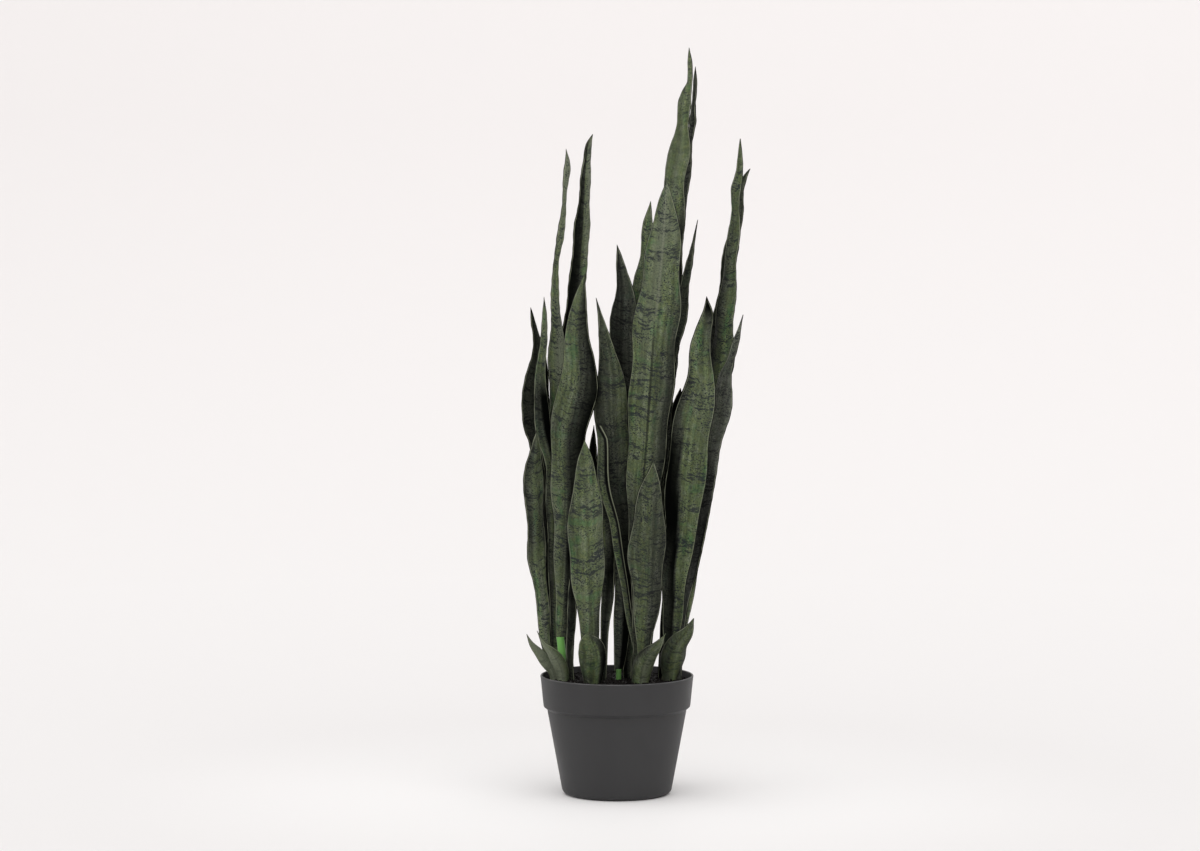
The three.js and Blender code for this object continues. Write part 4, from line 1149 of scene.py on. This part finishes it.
def build_stalk(name, stalk, settings, leaves):
    """A rod extruded along its route, its end rounded, with a slot for the leaf."""
    route = [Vector(point) * MM for point in stalk["route"]]
    piece = start_disc(route[0], stalk["radius"] * MM, settings.sides)
    for here, place in zip(route, route[1:]):
        bpy.ops.mesh.extrude_region_move(TRANSFORM_OT_translate={"value": place - here})
    bpy.ops.mesh.inset(thickness=END_INSET, depth=END_RISE)
    close_solid()
    cutter = leaf_sheet(stalk["holds"], leaves, SLOT_DEPTH, grow=SLOT_PLAY)
    thicken(cutter, leaves.thickness + SLOT_PLAY * MM)
    apply_modifiers(cutter)
    cut = piece.modifiers.new("Slot", "BOOLEAN")
    cut.operation = "DIFFERENCE"
    cut.solver = "EXACT"
    cut.object = cutter
    apply_modifiers(piece)
    bpy.data.objects.remove(cutter)
    make_active(piece)
    bpy.ops.object.shade_smooth_by_angle(angle=STALK_SMOOTHING)
    piece.data.materials.clear()
    piece.data.materials.append(once("moulded_green", moulded_green, settings))
    hand_over(piece, name.replace("stalk_", "moulded_stalk_"), "stalk_green", name)


class PLANT_OT_stalks(bpy.types.Operator):
    """Extrudes the two moulded stalks and cuts the slots that their leaves stand in"""
    bl_idname = "plant.stalks"
    bl_label = "Build stalks"

    def execute(self, context):
        for name, stalk in STALKS.items():
            build_stalk(name, stalk, context.scene.plant_stalks, context.scene.plant_leaves)
        return {"FINISHED"}


# ---------------------------------------------------------------- stage

def pale_cove(settings):
    """A wide floor that curves up into a wall all round."""
    reach, bend = settings.wall_distance, settings.wall_bend
    middle = 0.25 * reach
    profile = [(middle, 0), *arc(reach - bend, bend, bend, -90, -25, 32)]
    clear_selection()
    bpy.ops.mesh.primitive_circle_add(vertices=COVE_SIDES, radius=middle, fill_type="NGON")
    piece = bpy.context.object
    bpy.ops.object.mode_set(mode="EDIT")
    bpy.ops.mesh.select_mode(type="EDGE")
    bpy.ops.mesh.select_all(action="SELECT")
    bpy.ops.mesh.region_to_loop()
    extrude_rings(profile, bpy.ops.mesh.extrude_edges_move)
    bpy.ops.mesh.select_mode(type="VERT")
    bpy.ops.object.mode_set(mode="OBJECT")
    bpy.ops.object.shade_smooth()
    piece.name = "pale_cove"
    piece.data.materials.append(pale_floor(settings))


def soft_light(name, place, strength, width):
    """A wide far lamp that shines from its place towards the plant."""
    clear_selection()
    turn = (-Vector(place)).to_track_quat("-Z", "Y").to_euler()
    bpy.ops.object.light_add(type="SUN", location=place, rotation=turn)
    lamp = bpy.context.object
    lamp.name = name
    lamp.data.energy = strength
    lamp.data.angle = width


def even_sky(strength):
    """A slightly warm white sky, the same from all sides."""
    world = bpy.data.worlds.new("even_sky")
    world.use_nodes = True
    sky = world.node_tree.nodes["Background"]
    sky.inputs["Color"].default_value = (1.0, 0.985, 0.98, 1)
    sky.inputs["Strength"].default_value = strength
    return world


class PLANT_OT_stage(bpy.types.Operator):
    """Sets the pale floor, the soft light, the sky and the camera"""
    bl_idname = "plant.stage"
    bl_label = "Set the stage"

    def execute(self, context):
        scene = context.scene
        settings = scene.plant_stage
        pale_cove(settings)
        soft_light("key", KEY_PLACE, settings.key_strength, settings.key_angle)
        scene.world = even_sky(settings.sky)
        scene.view_settings.view_transform = "Standard"
        clear_selection()
        bpy.ops.object.camera_add(
            location=(settings.camera_across, -settings.camera_distance, settings.camera_height),
            rotation=(math.pi / 2 - settings.camera_tilt, 0, 0))
        camera = context.object
        camera.name = "front_camera"
        camera.data.sensor_width = SENSOR_WIDTH
        camera.data.lens = settings.lens
        camera.data.clip_start, camera.data.clip_end = 0.1, 100
        scene.camera = camera
        return {"FINISHED"}


# ---------------------------------------------------------------- panel and registration

SETTINGS = {
    "plant_pot": PotSettings,
    "plant_soil": SoilSettings,
    "plant_leaves": LeafSettings,
    "plant_stalks": StalkSettings,
    "plant_stage": StageSettings,
}
STEPS = (PLANT_OT_pot, PLANT_OT_soil, PLANT_OT_leaves, PLANT_OT_stalks, PLANT_OT_stage)


class PLANT_PT_panel(bpy.types.Panel):
    """Lists the plant's settings and the steps that build it"""
    bl_label = "Potted Snake Plant"
    bl_idname = "PLANT_PT_panel"
    bl_space_type = "VIEW_3D"
    bl_region_type = "UI"
    bl_category = "Plant"

    def draw(self, context):
        for (name, group), step in zip(SETTINGS.items(), STEPS):
            box = self.layout.box()
            box.label(text=name.replace("plant_", "").title())
            for key in group.__annotations__:
                box.prop(getattr(context.scene, name), key)
            if step is PLANT_OT_leaves:
                for clump in CLUMPS:
                    box.operator(step.bl_idname, text=f"Build {clump} clump").clump = clump
            else:
                box.operator(step.bl_idname)


CLASSES = (*SETTINGS.values(), *STEPS, PLANT_PT_panel)


def register():
    for each in CLASSES:
        bpy.utils.register_class(each)
    for name, group in SETTINGS.items():
        setattr(bpy.types.Scene, name, bpy.props.PointerProperty(type=group))


def unregister():
    for name in SETTINGS:
        delattr(bpy.types.Scene, name)
    for each in reversed(CLASSES):
        bpy.utils.unregister_class(each)


def main():
    register()
    bpy.ops.plant.stage()
    bpy.ops.plant.pot()
    bpy.ops.plant.soil()
    for clump in CLUMPS:
        bpy.ops.plant.leaves(clump=clump)
    bpy.ops.plant.stalks()


if __name__ == "__main__":
    main()
